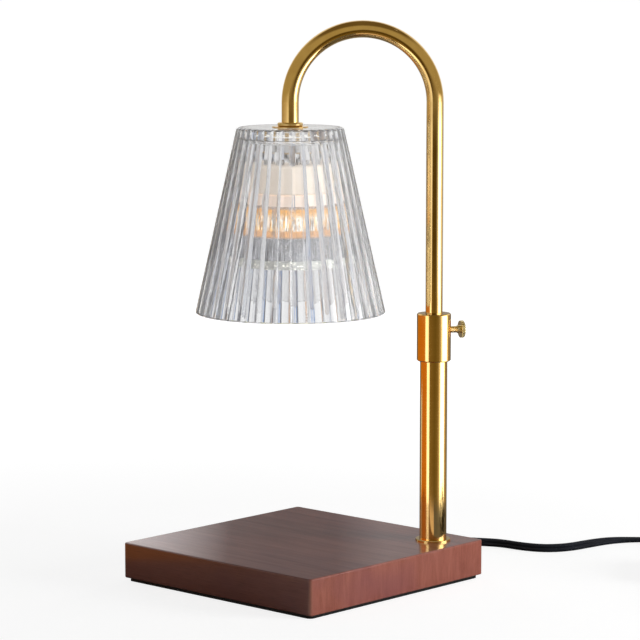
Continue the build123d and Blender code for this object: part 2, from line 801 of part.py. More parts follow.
def bulb_reflector():
    """Pressed glass bowl with a thick front rim that the lens sits in."""
    middle = (reflector_top + rim_top) / 2
    glass = bulb_glass
    crown_hole = capsule_radius + capsule_fit
    bowl = ThreePointArc((bulb_neck_radius, reflector_top), (bulb_belly, middle),
                         (bulb_shoulder_radius, rim_top))
    rim = Polyline((bulb_shoulder_radius, rim_top), (bulb_radius, rim_top), (bulb_radius, bulb_front),
                   (bulb_radius - glass, bulb_front), (bulb_radius - glass, bulb_front + lens_thickness),
                   (bulb_shoulder_radius - glass, bulb_front + lens_thickness),
                   (bulb_shoulder_radius - glass, rim_top))
    inside = ThreePointArc((bulb_shoulder_radius - glass, rim_top), (bulb_belly - glass, middle),
                           (bulb_neck_radius - glass, reflector_top - glass))
    crown = Polyline((bulb_neck_radius - glass, reflector_top - glass), (crown_hole, reflector_top - glass),
                     (crown_hole, reflector_top), (bulb_neck_radius, reflector_top))
    outline = make_face(Plane.XZ * Wire([*bowl.edges(), *rim.edges(), *inside.edges(), *crown.edges()]))
    return in_arm_plane(Pos(shade_u, 0, 0) * revolve(outline, Axis.Z))


def bulb_lens():
    lens = rod(bulb_radius - bulb_glass - lens_fit, bulb_front, bulb_front + lens_thickness)
    lens = fillet(bottom_edges(lens), lens_round)
    return in_arm_plane(Pos(shade_u, 0, 0) * lens)


def bulb_capsule():
    """Halogen capsule on the bulb's axis, held in the base's cement."""
    nose_middle = reflector_top - capsule_length + capsule_radius
    stalk = rod(capsule_radius, nose_middle, reflector_top)
    nose = Pos(0, 0, nose_middle) * Sphere(capsule_radius)
    return in_arm_plane(Pos(shade_u, 0, 0) * (stalk + nose))


# ------------------------------------------------------------------ in-line dimmer
def at_dimmer(shape):
    return Pos(*dimmer_place, 0) * Rot(0, 0, dimmer_angle) * shape


def dimmer_outline(inset):
    return RectangleRounded(dimmer_length - 2 * inset, dimmer_width - 2 * inset, dimmer_corner - inset)


def relief_bore():
    """Round hole through both end walls, where the strain reliefs are held."""
    return Pos(0, 0, cord_height_at_dimmer) * Rot(0, 90, 0) * Cylinder(
        relief_neck_radius + relief_fit, dimmer_length + 2 * past)


dimmer_post_x = dimmer_length / 2 - dimmer_post_from_end
dimmer_post_y = dimmer_width / 2 - dimmer_post_from_side
dimmer_posts = [(-dimmer_post_x, -dimmer_post_y), (dimmer_post_x, dimmer_post_y)]
dial_flange_top = dimmer_height - dimmer_wall - dial_gap
dial_flange_bottom = dial_flange_top - dial_flange
board_bottom = dimmer_wall + board_lift


def dimmer_lower_shell():
    shell = fillet(bottom_edges(extrude(dimmer_outline(0), dimmer_split)), dimmer_foot_round)
    shell = chamfer(top_edges(shell), dimmer_seam_chamfer)
    shell -= Pos(0, 0, dimmer_wall) * extrude(dimmer_outline(dimmer_wall), dimmer_split)
    head_room = dimmer_screw_recess + screw_m3_head_height
    for x, y in dimmer_posts:
        shell += rod(dimmer_post_radius + head_clearance, dimmer_wall - lap, dimmer_split, x, y)
        shell -= hole(screw_m3_radius + screw_m3_clearance, 0, dimmer_split, x, y)
        shell -= rod(screw_m3_head_radius + head_clearance, -past, head_room, x, y)
    return at_dimmer(shell - relief_bore())


def dimmer_upper_shell():
    blank = Pos(0, 0, dimmer_split) * extrude(dimmer_outline(0), dimmer_height - dimmer_split)
    shell = chamfer(bottom_edges(fillet(top_edges(blank), dimmer_round)), dimmer_seam_chamfer)
    shell -= Pos(0, 0, dimmer_split - past) * extrude(dimmer_outline(dimmer_wall),
                                                       dimmer_height - dimmer_wall - dimmer_split + past)
    pilot_top = dimmer_split + dimmer_screw_grip + screw_end_gap
    for x, y in dimmer_posts:
        shell += rod(dimmer_post_radius, dimmer_split, dimmer_height - dimmer_wall + lap, x, y)
        shell -= rod(screw_m3_radius, dimmer_split - past, pilot_top, x, y)
    shell -= hole(dial_radius + dial_gap, dimmer_height - dimmer_wall, dimmer_height)
    return at_dimmer(shell - relief_bore())


def dimmer_dial():
    """Knurled dial that stands out of the upper shell, with a flange under the wall."""
    top = dimmer_height + dial_rise
    dial = fillet(top_edges(rod(dial_radius, dial_flange_bottom, top)), dial_round)
    dial = knurl(dial, dial_radius, dimmer_height + past + dial_gap, top, dial_knurls, dial_knurl_radius)
    dial += rod(dial_radius + dial_flange_lip, dial_flange_bottom, dial_flange_top)
    dial -= rod(dial_bore, dial_flange_bottom - past, dial_flange_bottom + dial_bore_depth)
    return at_dimmer(dial)


def dimmer_pot():
    """Potentiometer under the dial, with its shaft."""
    bottom = board_bottom + board_thickness
    top = dial_flange_bottom - pot_gap
    body = Pos(0, 0, bottom) * extrude(RectangleRounded(pot_size, pot_size, pot_corner), top - bottom)
    return at_dimmer(body + rod(pot_shaft_radius, top - lap, dial_flange_bottom + pot_shaft_length))


def dimmer_board():
    """Circuit board on two legs, notched around the screw posts."""
    length = dimmer_length - 2 * (dimmer_wall + relief_flange + board_end_gap)
    width = dimmer_width - 2 * (dimmer_wall + board_clearance)
    board = Pos(0, 0, board_bottom) * extrude(RectangleRounded(length, width, board_corner), board_thickness)
    for x, y in dimmer_posts:
        board -= hole(dimmer_post_radius + head_clearance + board_clearance, board_bottom,
                      board_bottom + board_thickness, x, y)
        board += rod(board_leg_radius, dimmer_wall, board_bottom + lap, x, -y)
    return at_dimmer(board)


def dimmer_screws():
    screws = []
    head_top = dimmer_screw_recess + screw_m3_head_height
    for x, y in dimmer_posts:
        head = rod(screw_m3_head_radius, dimmer_screw_recess, head_top, x, y)
        shank = rod(screw_m3_radius, screw_m3_head_height, dimmer_split + dimmer_screw_grip, x, y)
        screws.append(head + shank - cross_drive(x, y, dimmer_screw_recess))
    return at_dimmer(Compound(screws))


def dimmer_reliefs():
    """Tapered, grooved sleeves at both ends, each with a flange inside the wall."""
    wall_in = dimmer_length / 2 - dimmer_wall
    wall_out = dimmer_length / 2
    tip = wall_out + relief_length
    sleeve = spun([(0, wall_in - relief_flange), (relief_root_radius, wall_in - relief_flange),
                   (relief_root_radius, wall_in), (relief_neck_radius, wall_in),
                   (relief_neck_radius, wall_out), (relief_root_radius, wall_out),
                   (relief_tip_radius, tip), (0, tip)])
    sleeve = grooved(sleeve, wall_out, tip, relief_root_radius, relief_tip_radius)
    raised = Pos(0, 0, cord_height_at_dimmer)
    return at_dimmer(Compound([raised * Rot(0, side * 90, 0) * sleeve for side in (-1, 1)]))


# ------------------------------------------------------------------ cord, coil and plug
def along(place, angle, distance, height):
    turn = math.radians(angle)
    return (place[0] + distance * math.cos(turn), place[1] + distance * math.sin(turn), height)


dimmer_reach = dimmer_length / 2 + relief_length
coil_outer_turn = coil_mid_radius + (coil_turns_wide - 1) / 2 * turn_pitch
coil_height = (coil_layers - 1) * turn_pitch + cord_diameter
coil_entry = along(dimmer_place, dimmer_angle, dimmer_reach + coil_lead, cord_radius)
coil_place = along(coil_entry, dimmer_angle + 90, coil_outer_turn, 0)
plug_angle = plug_exit_angle + 90
plug_axis_height = plug_face_height / 2


def cord_lead():
    """Free cord from the gland, out behind the base and across the table to the dimmer."""
    floor = cord_radius
    level = cord_height_at_dimmer
    return cord_tube("cord_lead", [
        (gland_x, gland_tip_y, cord_height_in_base),
        (gland_x, gland_tip_y + 10, cord_height_in_base),
        (0, 120, 5.4),
        (4, 132, 3.4),
        (14, 142.5, floor),
        (28, 150, floor),
        (44, 150.5, floor),
        (58.5, 155.5, floor),
        (67, 168, floor),
        (69.5, 186, floor),
        (73, 202, floor),
        (82.5, 214.5, floor),
        (95.5, 222.5, 2.9),
        (110.5, 225, 3.6),
        (124, 220, 4.8),
        along(dimmer_place, dimmer_angle, -dimmer_reach - 9, level),
        along(dimmer_place, dimmer_angle, -dimmer_reach, level)])


def cord_coil_lead():
    """Free cord from the dimmer down to the coil's lower layer."""
    return cord_tube("cord_coil_lead", [
        along(dimmer_place, dimmer_angle, dimmer_reach, cord_height_at_dimmer),
        along(dimmer_place, dimmer_angle, dimmer_reach + coil_lead / 3, cord_height_at_dimmer),
        along(dimmer_place, dimmer_angle, dimmer_reach + coil_lead * 2 / 3, cord_radius), coil_entry])


def cord_coil():
    """Outer shape of the put-away coil."""
    half = (coil_turns_wide - 1) / 2 * turn_pitch + cord_radius
    coil = ring(coil_mid_radius + half, coil_mid_radius - half, 0, coil_height)
    coil = fillet(top_edges(coil) + bottom_edges(coil), coil_edge_round)
    return Pos(*coil_place) * coil


plug_start = along(coil_place, plug_exit_angle, coil_outer_turn, coil_height - cord_radius)
plug_relief_tip = along(plug_start, plug_angle, plug_tail, plug_axis_height)


def cord_plug_lead():
    """Last stretch of the cord, from the coil's upper layer to the plug."""
    middle = along(plug_start, plug_angle, plug_tail / 2, plug_axis_height)
    return cord_tube("cord_plug_lead", [plug_start, middle, plug_relief_tip])


def at_plug(shape):
    """From a plug drawn along +X, with its relief's tip at the origin, to its place."""
    return Pos(*plug_relief_tip) * Rot(0, 0, plug_angle) * shape


def plug_body():
    """Moulded two-blade plug with a tapered, grooved strain relief."""
    face = plug_relief + plug_length

    def section(x, width, height, corner):
        return Plane.YZ.offset(x) * RectangleRounded(width, height, corner)

    back = section(plug_relief, plug_back_width, plug_back_height, plug_back_corner)
    waist = section(plug_relief + plug_waist_place, plug_waist_width, plug_waist_height, plug_back_corner)
    shoulder = section(face - plug_shoulder, plug_face_width, plug_face_height, plug_face_corner)
    front = section(face, plug_face_width, plug_face_height, plug_face_corner)
    grip = loft([back, waist, shoulder]) + loft([shoulder, front])
    grip = fillet(grip.edges().group_by(Axis.X)[-1], plug_face_round)
    relief = spun([(0, 0), (relief_tip_radius, 0), (plug_relief_root_radius, plug_relief + lap),
                   (0, plug_relief + lap)])
    relief = grooved(relief, 0, plug_relief, relief_tip_radius, plug_relief_root_radius)
    return at_plug(grip + Rot(0, 90, 0) * relief) - plug_blades()


def plug_blades():
    """Two flat blades, one wider than the other, each with its hole."""
    root = plug_relief + plug_length - blade_root
    blades = []
    for side, width in ((-1, blade_width), (1, blade_width + blade_polarised_extra)):
        outline = Rectangle(blade_root + blade_length, width, align=(Align.MIN, Align.CENTER))
        blade = Pos(root, 0, 0) * extrude(outline, blade_thickness / 2, both=True)
        blade = chamfer(blade.edges().filter_by(Axis.Z).group_by(Axis.X)[-1], blade_chamfer)
        blade -= hole(blade_hole_radius, -blade_thickness / 2, blade_thickness / 2,
                      root + blade_root + blade_length - blade_hole_from_tip)
        blades.append(Pos(0, side * blade_spacing / 2, 0) * Rot(90, 0, 0) * blade)
    return at_plug(Compound(blades))


# ------------------------------------------------------------------ write every node
nodes = {
    "base_block": base_block, "base_pad": base_pad, "cord_clamp": cord_clamp, "clamp_screws": clamp_screws,
    "base_lead": base_lead, "foot_washer": foot_washer, "foot_nut": foot_nut, "post_stud": post_stud,
    "post_foot_plug": post_foot_plug, "post_tube": post_tube, "post_foot_ring": post_foot_ring,
    "height_collar": height_collar, "thumb_screw_tip": thumb_screw_tip, "thumb_screw": thumb_screw,
    "arm_tube": arm_tube, "guide_bush": guide_bush, "arm_clips": arm_clips, "shade_stem": shade_stem,
    "arm_lead": arm_lead, "glass_shade": glass_shade, "shade_top_disc": shade_top_disc,
    "shade_gasket": shade_gasket, "shade_clamp_washer": shade_clamp_washer, "shade_locknut": shade_locknut,
    "holder_bracket": holder_bracket, "holder_screws": holder_screws, "lamp_holder": lamp_holder,
    "holder_contacts": holder_contacts, "holder_wires": holder_wires, "bulb_base": bulb_base,
    "bulb_pins": bulb_pins, "bulb_reflector": bulb_reflector, "bulb_lens": bulb_lens,
    "bulb_capsule": bulb_capsule, "cord_gland": cord_gland, "cord_lead": cord_lead,
    "dimmer_lower_shell": dimmer_lower_shell, "dimmer_upper_shell": dimmer_upper_shell,
    "dimmer_dial": dimmer_dial, "dimmer_pot": dimmer_pot, "dimmer_board": dimmer_board,
    "dimmer_screws": dimmer_screws, "dimmer_reliefs": dimmer_reliefs, "cord_coil_lead": cord_coil_lead,
    "cord_coil": cord_coil, "cord_plug_lead": cord_plug_lead, "plug_body": plug_body,
    "plug_blades": plug_blades,
}

os.makedirs("parts", exist_ok=True)
for name, make in nodes.items():
    export_step(make(), f"parts/{name}.step")
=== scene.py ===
import json
import math

import bpy
from mathutils import Matrix, Vector


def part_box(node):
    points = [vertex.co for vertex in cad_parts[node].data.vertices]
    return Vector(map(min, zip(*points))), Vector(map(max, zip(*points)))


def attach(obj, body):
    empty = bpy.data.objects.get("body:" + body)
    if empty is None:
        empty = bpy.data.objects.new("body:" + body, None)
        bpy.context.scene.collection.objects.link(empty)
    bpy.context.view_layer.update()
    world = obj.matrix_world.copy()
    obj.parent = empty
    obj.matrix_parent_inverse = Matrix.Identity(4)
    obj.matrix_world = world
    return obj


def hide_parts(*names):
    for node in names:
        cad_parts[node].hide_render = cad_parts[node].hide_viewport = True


# Candle warmer lamp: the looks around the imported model.  Metres, +Z up, origin in the middle of
# the base's underside.  The post, the arm and the shade stand in the upright plane along the
# base's diagonal.  Patterns, routes and small sizes are written in millimetres.

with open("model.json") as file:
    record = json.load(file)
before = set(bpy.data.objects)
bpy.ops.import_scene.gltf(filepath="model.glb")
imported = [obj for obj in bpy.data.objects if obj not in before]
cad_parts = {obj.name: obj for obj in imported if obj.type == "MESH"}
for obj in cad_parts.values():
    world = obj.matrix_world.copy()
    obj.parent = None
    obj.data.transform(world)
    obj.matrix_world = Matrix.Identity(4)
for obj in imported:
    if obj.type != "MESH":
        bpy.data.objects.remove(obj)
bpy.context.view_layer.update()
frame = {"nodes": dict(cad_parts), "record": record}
nodes = frame["nodes"]
mm = 0.001


def middle(node):
    """Middle of a node's box at rest."""
    low, high = (Vector(corner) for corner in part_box(node))
    return (low + high) / 2


POST_AXIS = middle("post_tube")
SHADE_AXIS = middle("lamp_holder")
SCREW_HEAD = middle("thumb_screw")
CAPSULE_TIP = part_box("bulb_capsule")[0][2]
REFLECTOR_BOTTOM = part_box("bulb_reflector")[0][2]

SHADE_RIBS = 36                      # a crest lies on the X axis
SHADE_MOUTH = 159.0                  # height above the table
SHADE_TAPER = 0.226                  # radius lost for each mm of height
SHADE_SKIN = (51.5, 52.5)            # radii at the mouth between the inside and the outside
SCREW_PITCH, STEM_PITCH = 0.7, 1.0
SCREW_SHANK = 14.3                   # from the post's axis to the end of the screw's thread
STEM_THREAD_TOP = 266.8              # height above the table
THREAD_RUNOUT = 0.2
FILAMENT_HEIGHT = 10.0               # above the capsule's tip
SMOOTH_ANGLE = math.radians(40)      # sharper edges stay sharp


# ------------------------------------------------------------------ shading helpers
class Shade:
    """A socket in a node tree.  Arithmetic on it adds Math nodes."""

    def __init__(self, tree, socket=None):
        self.tree, self.socket = tree, socket

    def add(self, kind, settings=(), inputs=(), output=0):
        """Places a node: its settings first, then the values or links of its sockets."""
        node = self.tree.nodes.new(kind)
        for key, value in dict(settings).items():
            if key == "stops":
                ramp = node.color_ramp.elements
                while len(ramp) < len(value):
                    ramp.new(0.5)
                for stop, (place, colour) in zip(ramp, value):
                    stop.position, stop.color = place, (*colour, 1)
            else:
                setattr(node, key, value)
        for key, value in dict(inputs).items():
            if isinstance(value, Shade):
                self.tree.links.new(value.socket, node.inputs[key])
            else:
                node.inputs[key].default_value = value
        return Shade(self.tree, node.outputs[output] if node.outputs else None)

    def math(self, operation, *others):
        return self.add("ShaderNodeMath", {"operation": operation}, enumerate((self, *others)))

    def vector(self, operation, *others, output=0):
        return self.add("ShaderNodeVectorMath", {"operation": operation},
                        enumerate((self, *others)), output)

    def along(self, axis):
        """The x, y or z of a vector."""
        return self.add("ShaderNodeSeparateXYZ", {}, {0: self}, "XYZ".index(axis))

    def length(self):
        return self.vector("LENGTH", output=1)

    def __add__(self, other):
        return self.math("ADD", other)

    def __sub__(self, other):
        return self.math("SUBTRACT", other)

    def __mul__(self, other):
        return self.math("MULTIPLY", other)

    def __rsub__(self, other):
        return self.add("ShaderNodeMath", {"operation": "SUBTRACT"}, {0: other, 1: self})

    __radd__, __rmul__ = __add__, __mul__


def light_path(start, output):
    return start.add("ShaderNodeLightPath", output=output)


def tint(colour):
    return colour if isinstance(colour, Shade) else (*colour, 1)


def colour_between(mask, low, high):
    """One colour where the mask is 0, the other where it is 1."""
    return mask.add("ShaderNodeMix", {"data_type": "RGBA"},
                    {0: mask, 6: tint(low), 7: tint(high)}, 2)


def place_on(tree, per_mm=(1, 1, 1), centre=(0, 0, 0), turn=0.0):
    """Object coordinates from a centre, turned about Z, in pattern units per millimetre."""
    coordinate = Shade(tree).add("ShaderNodeTexCoord", output="Object")
    return coordinate.add("ShaderNodeMapping", {"vector_type": "TEXTURE"},
                          {"Vector": coordinate, "Location": centre, "Rotation": (0, 0, turn),
                           "Scale": [mm / s for s in per_mm]})


def evenly(tree, per_mm, turn=0.0):
    """Object coordinates with the same scale along all three axes."""
    return place_on(tree, (per_mm, per_mm, per_mm), turn=turn)


def combine(x, y, z=0.0):
    return x.add("ShaderNodeCombineXYZ", {}, {0: x, 1: y, 2: z})


def round_axis(at, steps):
    """Angle about the pattern's Z axis, in steps a turn, 0 on its X axis."""
    return at.along("Y").math("ARCTAN2", at.along("X")) * (steps / (2 * math.pi))


def noise(at, detail=3.0, roughness=0.5, distortion=0.0):
    return at.add("ShaderNodeTexNoise", {}, {"Vector": at, "Scale": 1.0, "Detail": detail,
                                             "Roughness": roughness, "Distortion": distortion})


def cells(at, jitter=1.0):
    """Distance to the nearest of a grid of points."""
    return at.add("ShaderNodeTexVoronoi", {}, {"Vector": at, "Scale": 1.0, "Randomness": jitter},
                  "Distance")


def spread(value, low, high, bottom=0.0, top=1.0):
    """Stretches low..high to bottom..top, and clamps."""
    return value.add("ShaderNodeMapRange", {"clamp": True},
                     {"Value": value, "From Min": low, "From Max": high,
                      "To Min": bottom, "To Max": top})


def ramp(value, *stops):
    return value.add("ShaderNodeValToRGB", {"stops": stops}, {0: value})


def bump(height, depth, strength):
    """A normal from a pattern's height, where 1 stands for a depth in millimetres."""
    return height.add("ShaderNodeBump", {},
                      {"Height": height, "Distance": depth * mm, "Strength": strength})


def blank_material(name):
    """A material with an empty node tree, and the start of one."""
    material = bpy.data.materials.new(name)
    material.use_nodes = True
    material.node_tree.nodes.clear()
    return material, Shade(material.node_tree)


def finish(name, surface, lamps_pass=False):
    """A material whose Principled sockets are what surface(tree) returns; glass lets the lamps'
    light pass, a little dimmed."""
    material, start = blank_material(name)
    shader = start.add("ShaderNodeBsdfPrincipled", {}, surface(start.tree))
    if lamps_pass:
        open_way = start.add("ShaderNodeBsdfTransparent", {}, {"Color": SHADOW_TINT})
        lamp_ray = light_path(start, "Is Shadow Ray")
        shader = start.add("ShaderNodeMixShader", {}, {0: lamp_ray, 1: shader, 2: open_way})
    start.add("ShaderNodeOutputMaterial", {}, {"Surface": shader})
    return material


# ------------------------------------------------------------------ finishes
BRASS, PALE_BRASS, DULL_BRASS = (0.80, 0.53, 0.19), (0.84, 0.58, 0.24), (0.62, 0.38, 0.13)
SCREW_BRASS, STEM_BRASS = (0.92, 0.78, 0.46), (0.84, 0.6, 0.27)
SHADOW_TINT = (0.86, 0.87, 0.88, 1)  # of the lamps' light behind the glass
GLASS_RIPPLE, GLASS_DRAW_LINES, GLASS_VALLEY = 0.08, 0.26, 0.018
DRAW_LINES_PER_RIB = 4.0
REFLECTOR_FACETS = 44                # round the bowl


def lacquered_wood(tree):
    """Mahogany stain under satin lacquer: grain along X, upright streaks on the end grain."""
    figure = noise(place_on(tree, (0.012, 0.16, 0.03)), 4, 0.55, 0.5)
    streaks = noise(place_on(tree, (0.02, 1.1, 0.12)), 3, 0.6)
    fibres = noise(place_on(tree, (0.06, 6.0, 1.6)), 2)
    stain = noise(place_on(tree, (0.02, 0.03, 0.03)), 2)
    pores = spread(noise(place_on(tree, (0.12, 4.0, 4.0)), 1), 0.64, 0.72)
    tone = spread(figure * 0.5 + streaks * 0.25 + fibres * 0.25, 0.34, 0.66)
    colour = colour_between(tone, (0.195, 0.050, 0.032), (0.36, 0.118, 0.082))
    colour = colour_between(spread(stain, 0.5, 0.72, 0, 0.45), colour, (0.20, 0.062, 0.070))
    colour = colour_between(pores * 0.55, colour, (0.07, 0.018, 0.014))
    grain = streaks * 0.6 + fibres * 0.4 - pores * 0.35
    return {"Base Color": colour, "Roughness": spread(tone, 0, 1, 0.5, 0.38),
            "Coat Weight": 1.0, "Coat Roughness": 0.14, "Coat IOR": 1.5,
            "Normal": bump(grain, 0.05, 0.5)}


def brushed_brass(per_mm, depth):
    """Polished brass with fine brushing lines and faint dull patches."""
    def surface(tree):
        lines = noise(place_on(tree, per_mm), 3, 0.65)
        coarse = noise(place_on(tree, [s * 0.35 for s in per_mm]), 3, 0.7)
        wear = noise(place_on(tree, (0.06, 0.06, 0.03)), 3)
        colour = colour_between(spread(wear, 0.3, 0.7), BRASS, PALE_BRASS)
        colour = colour_between(spread(coarse, 0.42, 0.62, 0, 0.3), colour, DULL_BRASS)
        return {"Base Color": colour, "Metallic": 1.0,
                "Roughness": spread(lines, 0.3, 0.7, 0.08, 0.13),
                "Normal": bump(lines, depth, 0.6)}
    return surface


def threaded_brass(tree, axis, pitch, end, colour):
    """Satin brass with a thread's ridges across an axis, as far as the end of the thread."""
    here = place_on(tree).vector("DOT_PRODUCT", axis, output=1)
    ridges = (here * (2 * math.pi / pitch)).math("SINE")
    ridges = ridges * spread(here, end - THREAD_RUNOUT, end + THREAD_RUNOUT, 1, 0)
    wear = noise(evenly(tree, 0.3), 3)
    worn = [c * 0.92 for c in colour]
    return {"Base Color": colour_between(spread(wear, 0.3, 0.7), worn, colour),
            "Metallic": 1.0, "Roughness": spread(wear, 0.3, 0.7, 0.2, 0.3),
            "Normal": bump(ridges, 0.12, 0.8)}


def clear_glass(tree):
    """Pressed glass: almost colourless, with painted shade that darkens the valleys between its
    ribs, with a faint ripple, and draw lines on its outside."""
    at = place_on(tree, centre=(SHADE_AXIS.x, SHADE_AXIS.y, 0))
    turn = round_axis(at, SHADE_RIBS) + 0.5
    off_crest = (turn.math("FRACT") * 2.0 - 1.0).math("ABSOLUTE")
    valley = spread(off_crest, 0.42, 1.0)
    out = at.vector("MULTIPLY", (1, 1, 0)).length()
    outer_face = spread(out + (at.along("Z") - SHADE_MOUTH) * SHADE_TAPER, *SHADE_SKIN)
    ripple = noise(place_on(tree, (0.05, 0.05, 0.03)), 2)
    drawn = noise(combine(turn * DRAW_LINES_PER_RIB, at.along("Z") * 0.015), 2, 0.6)
    relief = (ripple * GLASS_RIPPLE + drawn * outer_face * GLASS_DRAW_LINES
              - valley * outer_face * out * GLASS_VALLEY)
    # Painted shade: darker glass in the valleys in place of the dark lines that the ribs refract.
    return {"Base Color": colour_between(valley, (0.975, 0.98, 0.99), (0.95, 0.955, 0.97)),
            "Roughness": 0.0, "IOR": 1.5, "Transmission Weight": 0.89,
            "Normal": bump(relief, 1.0, 1.0)}


def black_rubber(tree):
    """Cord's sheath: near black, with fine grit and paler scuffs."""
    fine = noise(evenly(tree, 2), 2)
    scuffs = spread(noise(evenly(tree, 0.1), 3), 0.4, 0.7)
    return {"Base Color": colour_between(scuffs, (0.008, 0.009, 0.013), (0.014, 0.016, 0.024)),
            "Roughness": spread(fine, 0.3, 0.7, 0.34, 0.44), "Specular IOR Level": 0.3,
            "Normal": bump(fine, 0.02, 0.4)}


def closed_foam(tree):
    """Dark foam with small closed pores."""
    pores = cells(evenly(tree, 1.6))
    shade = noise(evenly(tree, 0.2), 2)
    return {"Base Color": colour_between(shade, (0.008, 0.008, 0.008), (0.02, 0.02, 0.02)),
            "Roughness": spread(shade, 0.3, 0.7, 0.75, 0.9), "Normal": bump(pores, 0.12, 0.6)}


def moulded_plastic(light, dark, rough):
    """Fine spark-eroded texture."""
    def surface(tree):
        grit = noise(evenly(tree, 3), 2)
        patch = noise(evenly(tree, 0.08), 2)
        return {"Base Color": colour_between(spread(patch, 0.3, 0.7), dark, light),
                "Roughness": spread(grit, 0.3, 0.7, rough, rough + 0.12),
                "Normal": bump(grit, 0.04, 0.5)}
    return surface


def plated_metal(colour, rough):
    """Bright plating with fine drawing lines and a few dull spots."""
    def surface(tree):
        lines = noise(place_on(tree, (0.3, 6, 0.3), turn=math.radians(45)), 2)
        spots = noise(evenly(tree, 0.4), 3)
        dull = [c * 0.8 for c in colour]
        return {"Base Color": colour_between(spread(spots, 0.5, 0.8), colour, dull),
                "Metallic": 1.0, "Roughness": spread(lines, 0.3, 0.7, rough, rough + 0.06),
                "Normal": bump(lines, 0.01, 0.5)}
    return surface


def cream_ceramic_painted_glow(tree):
    """Unglazed steatite with fine specks; its even glow is painted light from the bulb under it.
    """
    specks = spread(noise(evenly(tree, 1.5), 2), 0.62, 0.75)
    body = noise(evenly(tree, 0.1), 3)
    colour = colour_between(spread(body, 0.3, 0.7), (0.72, 0.62, 0.50), (0.80, 0.71, 0.60))
    return {"Base Color": colour_between(specks * 0.4, colour, (0.45, 0.36, 0.27)),
            "Roughness": spread(body, 0.3, 0.7, 0.5, 0.62), "Normal": bump(specks, 0.03, 0.4),
            # Painted light: an even warm glow in place of the bulb's light falling on the holder.
            "Emission Color": (1.0, 0.88, 0.78, 1), "Emission Strength": 0.36}


def pinkish_cement_painted_glow(tree):
    """The bulb's neck; its even warm glow is painted light from the light inside."""
    body = noise(evenly(tree, 0.3), 3)
    colour = colour_between(spread(body, 0.3, 0.7), (0.82, 0.68, 0.60), (0.88, 0.76, 0.68))
    return {"Base Color": colour, "Roughness": spread(body, 0.3, 0.7, 0.45, 0.6),
            # Painted light: an even warm glow, though the neck is no lamp.
            "Emission Color": (1.0, 0.78, 0.62, 1), "Emission Strength": 0.4}


def lit_reflector(tree):
    """Facetted silvered bowl: filament glow through its upper half, grey facets, a sparkling
    rim.  Heights are above the rim's front."""
    centre = (SHADE_AXIS.x, SHADE_AXIS.y, REFLECTOR_BOTTOM)
    at = place_on(tree, centre=centre)
    turn = round_axis(at, REFLECTOR_FACETS)
    height = at.along("Z")
    dome = cells(combine(turn, height * 0.32))
    speck = noise(place_on(tree, (1.6, 1.6, 1.2)), 2)

    glow_starts, glow_ends = (17.5, 19.0), (33.5, 34.5)
    core_starts, core_ends = (21.5, 22.5), (29.0, 32.5)
    rim_ends = (4.6, 5.4)
    bright_side = spread(noise(combine(turn * 0.45, 0.0, 3.0), 1), 0.38, 0.5)
    glow = (spread(height, *glow_starts) * spread(height, *glow_ends, 1, 0.3)
            * (bright_side * 0.7 + 0.3))
    core = spread(height, *core_starts) * spread(height, *core_ends, 1, 0)
    rim = spread(height, *rim_ends, 1, 0)

    streak = noise(combine(turn * 0.9, height * 0.03), 3, 0.6)
    heat = spread(streak * 0.9 + speck * 0.1, 0.34, 0.66)
    fire = ramp(heat, (0.0, (0.10, 0.07, 0.06)), (0.34, (0.16, 0.08, 0.05)),
                (0.41, (1.0, 0.42, 0.03)), (0.56, (1.0, 0.60, 0.12)), (0.62, (1.0, 1.0, 0.95)),
                (0.74, (1.0, 1.0, 0.95)), (0.79, (0.22, 0.17, 0.14)))
    band = colour_between(spread(height, 20, 30), (0.80, 0.40, 0.15), (1.0, 0.46, 0.04))
    mottle = spread(streak * 0.5 + speck * 0.5, 0.35, 0.65)
    band = colour_between(mottle, (0.30, 0.16, 0.08), band)
    glint = spread(noise(evenly(tree, 0.9), 2), 0.55, 0.68) * rim
    lit = colour_between(glow, (0.0, 0.0, 0.0), colour_between(core, band, fire))
    lit = colour_between(glint, lit, (1.0, 0.95, 0.8))

    drawn = noise(combine(turn * 4.0, height * 0.06, 7.0), 3, 0.65)
    silver = colour_between(spread(drawn * 0.85 + speck * 0.15, 0.38, 0.62),
                            (0.06, 0.06, 0.07), (0.95, 0.96, 1.0))
    silver = colour_between(glow, silver, (0.22, 0.15, 0.10))
    return {"Base Color": colour_between(rim, silver, (0.75, 0.76, 0.72)),
            "Metallic": spread(rim, 0, 1, 0.85, 0.1),
            "Roughness": spread(speck, 0.3, 0.7, 0.14, 0.3), "Normal": bump(dome, 0.9, 0.7),
            "Emission Color": lit, "Emission Strength": 1.3}


def frosted_lens(tree):
    """Warm-lit front glass with moulded dimples."""
    dimples = cells(place_on(tree, (0.28, 0.28, 0.28), centre=SHADE_AXIS), 0.35)
    shine = spread(dimples, 0.0, 0.6, 1, 0)
    return {"Base Color": colour_between(shine, (0.72, 0.74, 0.55), (0.9, 0.9, 0.78)),
            "Roughness": spread(dimples, 0, 0.6, 0.12, 0.25),
            "Emission Color": colour_between(shine, (0.75, 0.72, 0.42), (1.0, 0.95, 0.75)),
            "Emission Strength": 0.75, "Normal": bump(dimples, 0.8, 0.8)}


def glowing_capsule(tree):
    """Halogen capsule, brightest at its filament."""
    height = place_on(tree, centre=(0, 0, CAPSULE_TIP)).along("Z")
    coil = spread((height - FILAMENT_HEIGHT).math("ABSOLUTE"), 1.0, 6.0, 1, 0)
    flicker = noise(evenly(tree, 0.5), 2)
    return {"Base Color": (0.9, 0.88, 0.8, 1), "Roughness": spread(flicker, 0.3, 0.7, 0.05, 0.1),
            "Emission Color": colour_between(coil, (1.0, 0.55, 0.2), (1.0, 0.93, 0.75)),
            "Emission Strength": 3.0}


